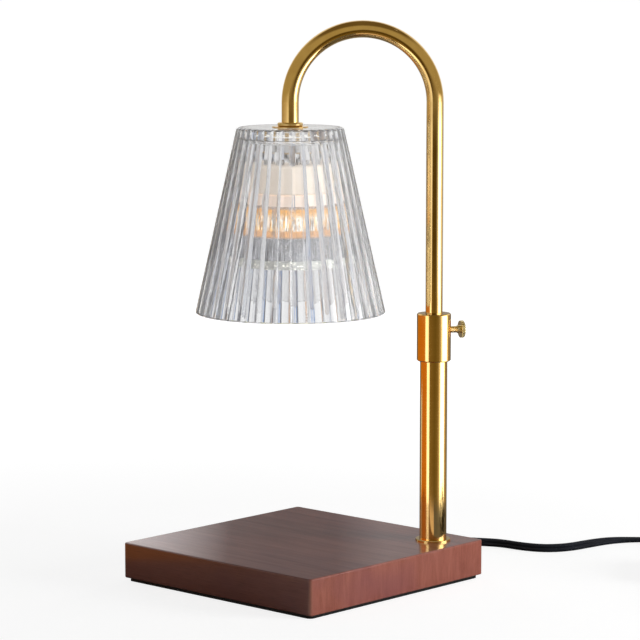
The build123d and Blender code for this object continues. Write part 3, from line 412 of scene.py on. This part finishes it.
def woven_sleeve(tree):
    """Brown glass-fibre braid, in diagonal threads."""
    at = evenly(tree, 1, turn=math.radians(45))
    x, z = at.along("X"), at.along("Z")
    weave = ((x + z) * 9.0).math("SINE") * ((x - z) * 9.0).math("SINE")
    tone = spread(weave, -1, 1)
    return {"Base Color": colour_between(tone, (0.035, 0.03, 0.027), (0.10, 0.085, 0.07)),
            "Roughness": spread(weave, -1, 1, 0.55, 0.75), "Normal": bump(weave, 0.06, 0.8)}


def milky_silicone_painted_glow(tree):
    haze = noise(evenly(tree, 0.4), 2)
    return {"Base Color": colour_between(haze, (0.84, 0.85, 0.85), (0.93, 0.93, 0.92)),
            "Roughness": spread(haze, 0.3, 0.7, 0.3, 0.42), "Normal": bump(haze, 0.05, 0.4),
            # Painted light: an even pale glow, though the silicone is no lamp.
            "Emission Color": (0.9, 0.88, 0.85, 1), "Emission Strength": 0.35}


def circuit_board(tree):
    """Green solder mask over paler tracks, in line with the dimmer."""
    tracks = (evenly(tree, 1, turn=math.radians(36)).along("X") * 2.2).math("SINE")
    copper = spread(tracks, 0.1, 0.3)
    fine = noise(evenly(tree, 1), 2)
    return {"Base Color": colour_between(copper, (0.012, 0.10, 0.035), (0.03, 0.17, 0.06)),
            "Roughness": spread(fine, 0.3, 0.7, 0.28, 0.4), "Normal": bump(tracks, 0.03, 0.4)}


NYLON, NYLON_DARK = (0.78, 0.76, 0.70), (0.70, 0.68, 0.62)
SHELL, SHELL_DARK = (0.02, 0.02, 0.021), (0.012, 0.012, 0.013)
DIAL, DIAL_DARK = (0.05, 0.05, 0.052), (0.035, 0.035, 0.037)
POST_BRUSHING, POST_BRUSHING_DEPTH = (0.05, 0.05, 5.5), 0.008
ARM_BRUSHING, ARM_BRUSHING_DEPTH = (0.3, 0.3, 0.3), 0.003

finishes = {
    "wood": finish("lacquered_wood", lacquered_wood),
    "pad_foam": finish("closed_foam", closed_foam),
    "nylon": finish("natural_nylon", moulded_plastic(NYLON, NYLON_DARK, 0.38)),
    "zinc_steel": finish("zinc_plated_steel", plated_metal((0.62, 0.63, 0.64), 0.26)),
    "cord_rubber": finish("black_cord", black_rubber),
    "brass": finish("satin_brass", brushed_brass(POST_BRUSHING, POST_BRUSHING_DEPTH)),
    "shade_glass": finish("clear_pressed_glass", clear_glass, lamps_pass=True),
    "silicone": finish("clear_silicone", milky_silicone_painted_glow),
    "nickel": finish("bright_nickel", plated_metal((0.72, 0.71, 0.70), 0.08)),
    "ceramic": finish("cream_ceramic_painted_glow", cream_ceramic_painted_glow),
    "wire_sleeve": finish("woven_sleeve", woven_sleeve),
    "bulb_cement": finish("pinkish_cement_painted_glow", pinkish_cement_painted_glow),
    "bulb_reflector": finish("lit_reflector", lit_reflector),
    "bulb_glass": finish("frosted_lens", frosted_lens),
    "black_plastic": finish("black_plastic", moulded_plastic(SHELL, SHELL_DARK, 0.3)),
    "dial_plastic": finish("dial_plastic", moulded_plastic(DIAL, DIAL_DARK, 0.34)),
    "board": finish("circuit_board", circuit_board),
    "blade_brass": finish("plug_brass", plated_metal((0.80, 0.66, 0.38), 0.18)),
}
for part in frame["record"]["subparts"]:
    mesh = nodes[part["node"]].data
    mesh.materials.clear()
    mesh.materials.append(finishes[part["material_slot"]])

screw_axis = Vector((SCREW_HEAD.x - POST_AXIS.x, SCREW_HEAD.y - POST_AXIS.y, 0)).normalized()
screw_thread_end = POST_AXIS.dot(screw_axis) / mm + SCREW_SHANK
upwards = Vector((0, 0, 1))

nodes["thumb_screw"].data.materials[0] = finish(
    "screw_brass",
    lambda tree: threaded_brass(tree, screw_axis, SCREW_PITCH, screw_thread_end, SCREW_BRASS))
nodes["shade_stem"].data.materials[0] = finish(
    "stem_brass",
    lambda tree: threaded_brass(tree, upwards, STEM_PITCH, STEM_THREAD_TOP, STEM_BRASS))
nodes["arm_tube"].data.materials[0] = finish(
    "arm_brass", brushed_brass(ARM_BRUSHING, ARM_BRUSHING_DEPTH))
nodes["bulb_capsule"].data.materials[0] = finish("glowing_capsule", glowing_capsule)


# ------------------------------------------------------------------ camera, floor and light
CAMERA_PLACE = (1.1329, -1.2161, 0.369)
CAMERA_SIDE = math.radians(42.64)    # from -Y towards +X
CAMERA_TILT = math.radians(82.64)    # 90 looks level
CAMERA_LENS, CAMERA_SENSOR = 161.4, 36.0           # mm
LAMPS_AIM = Vector((0.02, 0.02, 0.12))
LAMPS = [                            # degrees from the camera's side, away, height, size, watts
    ("key", 72, 1.2, 0.25, 0.5, 15.5),
    ("fill", -40, 1.4, 0.5, 0.9, 0.2),
    ("back_right", 150, 1.3, 0.22, 0.4, 4.5),
    ("back_left", -158, 1.3, 0.22, 0.4, 4.5),
]
WORLD_LIGHT = 0.13                   # what the white surroundings light surfaces with
FLOOR_SIZE, FLOOR_MATT = 30, (0.3, 0.3, 0.3, 1)
FLOOR_FADE = (250, 900)              # mm from the middle
FLOOR_WHITE = (0.84, 0.97)           # near and far
SOFFIT_HEIGHT, SOFFIT_HOLE, SOFFIT_REACH = 0.032, 0.0095, 0.247
SOFFIT_STEPS = 48
SOFFIT_SPAN = 110                    # mm from the middle, to the left and right of the view


def add_camera():
    data = bpy.data.cameras.new("camera")
    data.lens, data.sensor_width = CAMERA_LENS, CAMERA_SENSOR
    camera = bpy.data.objects.new("camera", data)
    camera.location = CAMERA_PLACE
    camera.rotation_euler = (CAMERA_TILT, 0, CAMERA_SIDE)
    bpy.context.scene.collection.objects.link(camera)
    bpy.context.scene.camera = camera


def in_view(azimuth, distance, height):
    """A point round the lamp: azimuth in degrees from the camera's side, positive to its right."""
    turn = CAMERA_SIDE + math.radians(azimuth)
    return Vector((distance * math.sin(turn), -distance * math.cos(turn), height))


def add_lamp(name, azimuth, distance, height, size, watts):
    """A square lamp that lights surfaces but shows in no metal or glass."""
    data = bpy.data.lights.new(name, "AREA")
    data.size, data.energy = size, watts
    lamp = bpy.data.objects.new(name, data)
    lamp.location = in_view(azimuth, distance, height)
    lamp.rotation_euler = (LAMPS_AIM - lamp.location).to_track_quat("-Z", "Y").to_euler()
    lamp.visible_glossy = lamp.visible_transmission = False
    bpy.context.scene.collection.objects.link(lamp)


def seen_not_lighting(start):
    """1 for rays that show a surface, directly or in metal and glass, 0 for those that light."""
    reflected = light_path(start, "Is Glossy Ray")
    through = light_path(start, "Is Transmission Ray")
    return light_path(start, "Is Camera Ray").math("MAXIMUM", reflected.math("MAXIMUM", through))


def add_floor():
    """White table: matt under the lamp's shadow, and bright where it is looked at."""
    bpy.ops.mesh.primitive_plane_add(size=FLOOR_SIZE, location=(0, 0, 0))
    floor = bpy.context.object
    floor.name = "floor"
    material, start = blank_material("floor")
    matt = start.add("ShaderNodeBsdfDiffuse", {}, {"Color": FLOOR_MATT})
    looked_at = seen_not_lighting(start) - light_path(start, "Is Glossy Ray")
    away = place_on(start.tree).length()
    white = start.add("ShaderNodeEmission", {},
                      {"Strength": looked_at * spread(away, *FLOOR_FADE, *FLOOR_WHITE)})
    both = start.add("ShaderNodeAddShader", {}, {0: matt, 1: white})
    start.add("ShaderNodeOutputMaterial", {}, {"Surface": both})
    floor.data.materials.append(material)


def light_world():
    """White to look at, dim as a light."""
    world = bpy.data.worlds.new("studio")
    bpy.context.scene.world = world
    world.use_nodes = True
    world.node_tree.nodes.clear()
    start = Shade(world.node_tree)
    strength = WORLD_LIGHT + seen_not_lighting(start) * (1 - WORLD_LIGHT)
    light = start.add("ShaderNodeBackground", {}, {"Color": (1, 1, 1, 1), "Strength": strength})
    start.add("ShaderNodeOutputWorld", {}, {"Surface": light})


# ------------------------------------------------------------------ boards round the set
PEAK = 5.0                           # brightest board round the brass
DARK, GREY, WHITE, PALE = ((level,) * 3 for level in (0.17, 0.34, 2.2, PEAK))
LOW_BOARDS = [                       # level with the post and the collar
    (-180, GREY), (-174, GREY), (-167, DARK), (-142, DARK),
    (-134, (0.62, 0.25, 0.012)), (-96, (0.66, 0.22, 0.02)), (-80, (0.68, 0.23, 0.02)),
    (-62, (0.72, 0.29, 0.01)), (-57, WHITE), (-41, WHITE), (-35, (0.26, 0.18, 0.06)),
    (8, (0.17, 0.12, 0.03)), (32, (0.25, 0.18, 0.06)), (50, (0.9, 0.8, 0.6)), (60, PALE),
    (93, PALE), (101, (0.6, 0.48, 0.32)), (131, (0.3, 0.24, 0.16)), (145, DARK), (174, GREY)]
HIGH_BOARDS = [                      # level with the arm
    (-180, (0.3, 0.26, 0.2)), (-140, (0.3, 0.26, 0.2)), (-95, (0.6, 0.5, 0.36)),
    (-62, (0.9, 0.85, 0.8)), (-50, (1.25, 1.25, 1.25)), (-38, (1.25, 1.25, 1.25)),
    (-30, (0.1, 0.065, 0.012)), (20, (0.1, 0.065, 0.012)), (34, (0.45, 0.45, 0.45)),
    (46, (0.9, 0.9, 0.9)), (54, PALE), (84, PALE), (94, (1.5, 1.5, 1.5)),
    (106, (0.9, 0.9, 0.9)), (150, (0.35, 0.33, 0.3))]
STRIPS = {"white": (1, 1, 1), "pale": (0.8, 0.8, 0.82), "dull": (0.8, 0.8, 0.8),
          "dim": (0.12, 0.12, 0.14), "blue": (0.2, 0.4, 0.8), "amber": (0.8, 0.4, 0.12)}
LEFT_STRIPS = [                      # degrees from straight behind the shade
    (2, "white"), (8, "pale"), (11, "dim"), (18, "dim"), (20, "amber"), (22, "dim"), (25, "dim"),
    (29, "white"), (44, "white"), (46, "blue"), (48, "white"), (54, "dim"), (60, "white"),
    (80, "white"), (120, "dull")]
RIGHT_STRIPS = [
    (2, "white"), (8, "white"), (11, "pale"), (14, "dim"), (21, "dim"), (23, "blue"),
    (26, "pale"), (38, "white"), (40, "amber"), (42, "white"), (54, "white"), (57, "dim"),
    (61, "white"), (80, "white"), (120, "dull")]
ARM_LEVEL, CEILING_LEVEL = (120, 165), (240, 300)  # heights where the next boards take over
CEILING_FADE = (600, 1000)
FADED = 0.2                          # share of its light that a board's dim end has
SOFFIT_LIGHT = [                     # mm to the right in the camera's view, and the light there
    (-110, 1.0), (-100, 1.0), (-45, 0.2), (-19, 0.17), (19, 0.17), (49, 0.34)]


def start_piece(primitive, name, **where):
    """A new primitive, alone in the selection and in edit mode."""
    bpy.ops.object.select_all(action="DESELECT")
    primitive(**where)
    piece = bpy.context.object
    piece.name = name
    bpy.ops.object.transform_apply(location=True, rotation=True, scale=True)
    bpy.ops.object.mode_set(mode="EDIT")
    bpy.ops.mesh.select_mode(type="FACE")
    return piece


def show_only_to(piece, ray):
    """Lets one kind of ray see a piece of the set, which isn't part of the lamp."""
    for kind in ("camera", "diffuse", "glossy", "transmission", "shadow"):
        setattr(piece, "visible_" + kind, kind == ray)


def light_levels(share, brightest, stops):
    """Boards round the set: degrees from the camera's side, with each one's red, green, blue."""
    return ramp(share, *[((degrees + 180) / 360, [level / brightest for level in light])
                         for degrees, light in stops])


def add_surround(name, axis, radii, height, ray, brightest, colours):
    """A closed bowl of boards: colours(azimuth, height above the table) gives their light."""
    bpy.ops.mesh.primitive_cone_add(
        vertices=96, radius1=radii[0], radius2=radii[1], depth=height, end_fill_type="NOTHING",
        location=(axis.x, axis.y, height / 2))
    bowl = bpy.context.object
    bowl.name = name
    material, start = blank_material(name)
    at = place_on(start.tree, centre=(0, 0, -height / 2), turn=CAMERA_SIDE)
    azimuth = at.along("X").math("ARCTAN2", at.along("Y") * -1.0) * (0.5 / math.pi) + 0.5
    light = start.add("ShaderNodeEmission", {},
                      {"Color": colours(azimuth, at.along("Z")), "Strength": brightest})
    start.add("ShaderNodeOutputMaterial", {}, {"Surface": light})
    bowl.data.materials.append(material)
    show_only_to(bowl, ray)


def add_board(name, place, size, tilt, light, brightest, fade):
    """A small board that reflections see, fading along its width between two places, in mm."""
    bpy.ops.mesh.primitive_plane_add(size=1, location=place)
    board = bpy.context.object
    board.name = name
    board.scale = (*size, 1)
    board.rotation_euler = (tilt, 0, CAMERA_SIDE)
    material, start = blank_material(name)
    at = place_on(start.tree).along("X") * size[0]
    strength = spread(at, *fade, brightest, brightest * FADED)
    glow = start.add("ShaderNodeEmission", {}, {"Color": (*light, 1), "Strength": strength})
    start.add("ShaderNodeOutputMaterial", {}, {"Surface": glow})
    board.data.materials.append(material)
    show_only_to(board, "glossy")


def add_soffit():
    """Dim underside low over the table, that only tops seen directly reflect, so that no view
    shows the bright boards in the wood.  Rays from above and rays of a second reflection pass
    through it."""
    soffit = start_piece(bpy.ops.mesh.primitive_circle_add, "soffit", vertices=SOFFIT_STEPS,
                         radius=SOFFIT_REACH, fill_type="NGON",
                         location=(POST_AXIS.x, POST_AXIS.y, SOFFIT_HEIGHT))
    bpy.ops.mesh.inset(thickness=SOFFIT_REACH - SOFFIT_HOLE)
    bpy.ops.mesh.delete(type="FACE")
    bpy.ops.object.mode_set(mode="OBJECT")
    material, start = blank_material("soffit")
    across = place_on(start.tree, turn=CAMERA_SIDE).along("X")
    light = ramp(spread(across, -SOFFIT_SPAN, SOFFIT_SPAN),
                 *[((right + SOFFIT_SPAN) / (2 * SOFFIT_SPAN), (level,) * 3)
                   for right, level in SOFFIT_LIGHT])
    under = start.add("ShaderNodeEmission", {}, {"Color": light, "Strength": 1.0})
    open_way = start.add("ShaderNodeBsdfTransparent", {})
    from_below = start.add("ShaderNodeNewGeometry", output="Backfacing")
    direct = light_path(start, "Ray Depth").math("LESS_THAN", 1.5)
    both = start.add("ShaderNodeMixShader", {}, {0: from_below * direct, 1: open_way, 2: under})
    start.add("ShaderNodeOutputMaterial", {}, {"Surface": both})
    soffit.data.materials.append(material)
    show_only_to(soffit, "glossy")


def brass_boards(azimuth, height):
    """Boards level with the post and collar, others level with the arm, an olive ceiling above."""
    boards = colour_between(spread(height, *ARM_LEVEL), light_levels(azimuth, PEAK, LOW_BOARDS),
                            light_levels(azimuth, PEAK, HIGH_BOARDS))
    behind = spread((azimuth - 0.5).math("ABSOLUTE"), 0.33, 0.38)
    upper = colour_between(behind, (0.09, 0.079, 0.047), (0.19, 0.19, 0.19))
    ceiling = colour_between(spread(height, *CEILING_FADE), upper, (0.032, 0.024, 0.010))
    return colour_between(spread(height, *CEILING_LEVEL), boards, ceiling)


def glass_boards(azimuth, height):
    """Light and dark strips behind the shade, that its ribs show as upright lines."""
    left = [(degrees - 180, STRIPS[light]) for degrees, light in LEFT_STRIPS]
    right = [(180 - degrees, STRIPS[light]) for degrees, light in reversed(RIGHT_STRIPS)]
    return light_levels(azimuth, 1.0, left + right)


bpy.context.scene.view_settings.view_transform = "Standard"
add_camera()
add_floor()
light_world()
for lamp_row in LAMPS:
    add_lamp(*lamp_row)
add_surround("brass_surround", POST_AXIS, radii=(0.24, 0.6), height=1.4, ray="glossy",
             brightest=PEAK, colours=brass_boards)
add_surround("glass_surround", SHADE_AXIS, radii=(0.4, 0.4), height=0.7, ray="transmission",
             brightest=1.0, colours=glass_boards)
add_board("corner_board", place=in_view(180, 0.115, 0.046) + in_view(-90, 0.100, 0),
          size=(0.16, 0.068), tilt=math.pi / 2, light=(1, 1, 1), brightest=1.0, fade=(0, 55))
add_soffit()
add_board("ceiling_board", place=(0, 0, 1.39), size=(1.3, 1.3), tilt=0, light=(1, 0.75, 0.32),
          brightest=0.16, fade=(700, 701))
add_board("front_mat", place=in_view(0, 0.165, 0.0005) + in_view(90, 0.02, 0),
          size=(0.14, 0.11), tilt=0, light=(1, 0.78, 0.6), brightest=0.8, fade=(100, 101))


# ------------------------------------------------------------------ new pieces
def pick_faces(piece, wanted):
    """Selects the faces for which wanted(face) holds."""
    bpy.ops.mesh.select_all(action="DESELECT")
    bpy.ops.object.mode_set(mode="OBJECT")
    for face in piece.data.polygons:
        face.select = wanted(face)
    bpy.ops.object.mode_set(mode="EDIT")


def settle(piece, body, slot):
    """Leaves edit mode, smooths the piece and gives it its body and its finish."""
    bpy.ops.object.mode_set(mode="OBJECT")
    bpy.ops.object.shade_smooth_by_angle(angle=SMOOTH_ANGLE)
    piece.data.materials.clear()
    piece.data.materials.append(finishes[slot])
    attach(piece, body)


# ------------------------------------------------------------------ cords
CORD_WIDTH, CORD_THICKNESS = 5.2 * mm, 2.9 * mm
CORD_GROOVE_ANGLE, CORD_OUTLINE_STEP = 140, 20     # each core's outline, either way from outside
CORD_FINENESS = 6                    # steps between two points of a route
ON_EDGE, FLAT, SECOND_LAYER = 2.6, 1.5, 4.5        # heights of a lying cord's middle
DIMMER_PLACE, DIMMER_ANGLE = (167.5, 163.5), -54.0
DIMMER_REACH = 48.0                  # from its middle to the end of each strain relief
DIMMER_EXIT = 6.0                    # height of the cord there
COIL_LEAD, COIL_MID_RADIUS, TURN_PITCH = 30.0, 31.0, 5.3
COIL_RINGS, COIL_TURNS, COIL_POINTS = 4, 8, 14     # rings a layer, turns, points a turn
COIL_STEP = 0.2                      # share of a turn in which the cord moves to the next ring
OUTER_TURN = COIL_MID_RADIUS + 1.5 * TURN_PITCH
PLUG_ANGLE, PLUG_REACH = 35.0, 22    # where the cord leaves the coil, and from there to the plug
PLUG_EXIT, PLUG_RISE = 7.5, 7.2      # height of the cord at the plug and half-way to it
TIE_ANGLE, TIE_LIFT, TIE_SPREAD = -60.0, 0.65, 70  # the turns rise over the strap's lower side


def along(place, angle, distance, height):
    turn = math.radians(angle)
    return (place[0] + distance * math.cos(turn), place[1] + distance * math.sin(turn), height)


def from_dimmer(distance, height):
    """A point on the dimmer's axis, positive towards the coil."""
    return along(DIMMER_PLACE, DIMMER_ANGLE, distance, height)


def twin_profile():
    """Section of the flat cord: two round cores side by side with a groove between them."""
    core = CORD_THICKNESS / 2
    half = CORD_WIDTH / 2 - core
    outline = []
    for side in (1, -1):
        for degrees in range(-CORD_GROOVE_ANGLE, CORD_GROOVE_ANGLE + 1, CORD_OUTLINE_STEP):
            turn = math.radians(degrees)
            outline.append((side * (half + core * math.cos(turn)), side * core * math.sin(turn),
                            0, 1))
    curve = bpy.data.curves.new("twin_profile", "CURVE")
    curve.dimensions = "2D"
    spline = curve.splines.new("POLY")
    spline.points.add(len(outline) - 1)
    for point, place in zip(spline.points, outline):
        point.co = place
    spline.use_cyclic_u = True
    return bpy.data.objects.new("twin_profile", curve)


def lay_cord(name, points, tilts):
    """A flat twin cord along a smooth line: its mesh, and the line's own points."""
    curve = bpy.data.curves.new(name, "CURVE")
    curve.dimensions, curve.twist_mode = "3D", "Z_UP"
    curve.resolution_u = CORD_FINENESS
    spline = curve.splines.new("NURBS")
    spline.points.add(len(points) - 1)
    for point, place, tilt in zip(spline.points, points, tilts):
        point.co = (*(c * mm for c in place), 1)
        point.tilt = math.radians(tilt)
    spline.order_u = 3
    spline.use_endpoint_u = True
    route = bpy.data.objects.new(name + "_route", curve)
    bpy.context.scene.collection.objects.link(route)
    line = [v.co.copy() for v in bpy.data.meshes.new_from_object(route).vertices]

    profile = twin_profile()
    curve.bevel_mode, curve.bevel_object, curve.use_fill_caps = "OBJECT", profile, True
    bpy.context.view_layer.update()
    tube = bpy.data.objects.new(name, bpy.data.meshes.new_from_object(
        route.evaluated_get(bpy.context.evaluated_depsgraph_get())))
    bpy.context.scene.collection.objects.link(tube)
    bpy.data.objects.remove(route)
    bpy.data.objects.remove(profile)
    tube.data.materials.clear()
    tube.data.materials.append(finishes["cord_rubber"])
    for face in tube.data.polygons:
        face.use_smooth = True
    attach(tube, "base")
    return tube, line


# Straight out of the base's strain relief, down to the table on its edge, round a loose bend, and
# flat again into the dimmer.
lead_points = [
    (0, 99, 7.2), (0, 109, 7.2), (0, 120, 5.4), (4, 132, 3.4), (14, 142.5, ON_EDGE),
    (28, 150, ON_EDGE), (44, 150.5, ON_EDGE), (58.5, 155.5, ON_EDGE), (67, 168, ON_EDGE),
    (69.5, 186, ON_EDGE), (73, 202, ON_EDGE), (82.5, 214.5, ON_EDGE), (95.5, 222.5, 2.9),
    (110.5, 225, 3.6), (124, 220, 4.8),
    from_dimmer(-DIMMER_REACH - 9, DIMMER_EXIT), from_dimmer(-DIMMER_REACH, DIMMER_EXIT)]
lead_tilts = [90] * 9 + [60, 30] + [0] * 6
lead, lead_line = lay_cord("free_cord", lead_points, lead_tilts)
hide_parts("cord_lead")

coil_entry = from_dimmer(DIMMER_REACH + COIL_LEAD, 0)
coil_place = along(coil_entry, DIMMER_ANGLE + 90, OUTER_TURN, 0)


def coil_points(start, end):
    """Turns that step inwards on the lower layer and outwards again on the upper one."""
    inner = COIL_RINGS - 1
    points = []
    for i in range(1, round((end - start) / 360 * COIL_POINTS)):
        lap, share = divmod(i / COIL_POINTS, 1.0)
        inward = lap + max(0.0, (share - (1 - COIL_STEP)) / COIL_STEP)
        ring = min(inward, inner) if inward <= COIL_RINGS else max(0.0, 2 * inner + 1 - inward)
        layer = min(max(inward - inner, 0.0), 1.0)
        turned = start + 360 * i / COIL_POINTS
        from_tie = abs((turned - TIE_ANGLE + 180) % 360 - 180)
        height = FLAT + (SECOND_LAYER - FLAT) * layer
        height += TIE_LIFT * max(0.0, 1 - from_tie / TIE_SPREAD)
        points.append(along(coil_place, turned, OUTER_TURN - TURN_PITCH * ring, height))
    return points


winding = coil_points(DIMMER_ANGLE + 270, PLUG_ANGLE + 360 * COIL_TURNS)
plug_start = along(coil_place, PLUG_ANGLE, OUTER_TURN, SECOND_LAYER)
tail_points = [
    from_dimmer(DIMMER_REACH, DIMMER_EXIT), from_dimmer(DIMMER_REACH + 10, DIMMER_EXIT),
    from_dimmer(DIMMER_REACH + 20, ON_EDGE), from_dimmer(DIMMER_REACH + COIL_LEAD, FLAT),
    *winding, plug_start,
    along(plug_start, PLUG_ANGLE + 90, PLUG_REACH / 2, PLUG_RISE),
    along(plug_start, PLUG_ANGLE + 90, PLUG_REACH, PLUG_EXIT)]
tail, tail_line = lay_cord("coiled_cord", tail_points, [0] * len(tail_points))
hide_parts("cord_coil_lead", "cord_coil", "cord_plug_lead")


# ------------------------------------------------------------------ tie, dial mark and scale
TIE_WIDTH, TIE_HEIGHT, TIE_SPARE = 9, 7.3, 2.2     # along the cord, its height, past the turns
TIE_FLOOR_GAP = 0.02
TIE_ROUND, TIE_WALL, TIE_EDGE = 1.5, 0.6, 0.12
MARK_PLACE, MARK_ROUND = 5.3, 0.18                 # from the dial's axis
MARK_SIZE = (4.6, 1.0, 0.5)
DIAL_DOTS = 7
DOT_PLACE, DOT_STEP = 12.2, 18                     # from the dial's axis, degrees
DOT_RADIUS, DOT_HEIGHT, DOT_INSET, DOT_CROWN = 0.67, 0.5, 0.15, 0.06
DOT_FIRST, DOT_GROWTH = 0.6, 0.13                  # share of that radius, and more for each dot


def wrap_tie():
    """Rubber strap round all the coil's turns."""
    across = (COIL_RINGS - 1) * TURN_PITCH * mm + CORD_WIDTH + TIE_SPARE * mm
    place = along(coil_place, TIE_ANGLE, COIL_MID_RADIUS, TIE_HEIGHT / 2 + TIE_FLOOR_GAP)
    strap = start_piece(bpy.ops.mesh.primitive_cube_add, "coil_tie", size=1,
                        scale=(across, TIE_WIDTH * mm, TIE_HEIGHT * mm),
                        location=[c * mm for c in place],
                        rotation=(0, 0, math.radians(TIE_ANGLE)))
    turn = math.radians(TIE_ANGLE)
    along_cord = Vector((-math.sin(turn), math.cos(turn), 0))
    pick_faces(strap, lambda face: abs(face.normal.dot(along_cord)) > 0.9)
    bpy.ops.mesh.delete(type="FACE")
    bpy.ops.mesh.select_all(action="DESELECT")
    bpy.ops.object.mode_set(mode="OBJECT")
    for edge in strap.data.edges:
        low, high = (strap.data.vertices[v].co for v in edge.vertices)
        edge.select = abs((high - low).normalized().dot(along_cord)) > 0.9
    bpy.ops.object.mode_set(mode="EDIT")
    bpy.ops.mesh.select_mode(type="EDGE")
    bpy.ops.mesh.bevel(offset=TIE_ROUND * mm, segments=4, affect="EDGES")
    bpy.ops.object.mode_set(mode="OBJECT")
    wall = strap.modifiers.new("wall", "SOLIDIFY")
    wall.thickness, wall.offset = TIE_WALL * mm, -1
    bpy.ops.object.modifier_apply(modifier="wall")
    rim = strap.modifiers.new("rim", "BEVEL")
    rim.width, rim.segments, rim.limit_method = TIE_EDGE * mm, 2, "ANGLE"
    bpy.ops.object.modifier_apply(modifier="rim")
    settle(strap, "base", "cord_rubber")


def raise_dial_mark():
    """White pointer rib on top of the dial."""
    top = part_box("dimmer_dial")[1][2]
    place = Vector(from_dimmer(MARK_PLACE, 0)) * mm
    rib = start_piece(bpy.ops.mesh.primitive_cube_add, "dial_mark", size=1,
                      scale=[c * mm for c in MARK_SIZE], location=(place.x, place.y, top),
                      rotation=(0, 0, math.radians(DIMMER_ANGLE)))
    bpy.ops.mesh.bevel(offset=MARK_ROUND * mm, segments=2, affect="EDGES")
    settle(rib, "dimmer_dial", "nylon")


def raise_dial_scale():
    """Dots beside the dial that grow from dim to bright: one is shaped, the others are copies."""
    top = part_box("dimmer_upper_shell")[1][2]
    scale = start_piece(bpy.ops.mesh.primitive_cylinder_add, "dial_scale", vertices=16,
                        radius=DOT_RADIUS * mm, depth=DOT_HEIGHT * mm, location=(0, 0, top))
    pick_faces(scale, lambda face: face.normal.z > 0.9)
    bpy.ops.mesh.inset(thickness=DOT_INSET * mm)
    bpy.ops.transform.translate(value=(0, 0, DOT_CROWN * mm))
    bpy.ops.object.mode_set(mode="OBJECT")
    for i in range(DIAL_DOTS):
        angle = DIMMER_ANGLE + DOT_STEP * (i - DIAL_DOTS // 2)
        place = Vector(along(DIMMER_PLACE, angle, DOT_PLACE, 0)) * mm
        wide = DOT_FIRST + DOT_GROWTH * i
        dot = bpy.data.objects.new("dot", scale.data.copy())
        dot.data.transform(Matrix.Translation(place) @ Matrix.Diagonal((wide, wide, 1, 1)))
        bpy.context.scene.collection.objects.link(dot)
        dot.select_set(True)
    scale.data.clear_geometry()
    bpy.ops.object.join()
    bpy.ops.object.mode_set(mode="EDIT")
    settle(scale, "base", "nylon")


wrap_tie()
raise_dial_mark()
raise_dial_scale()
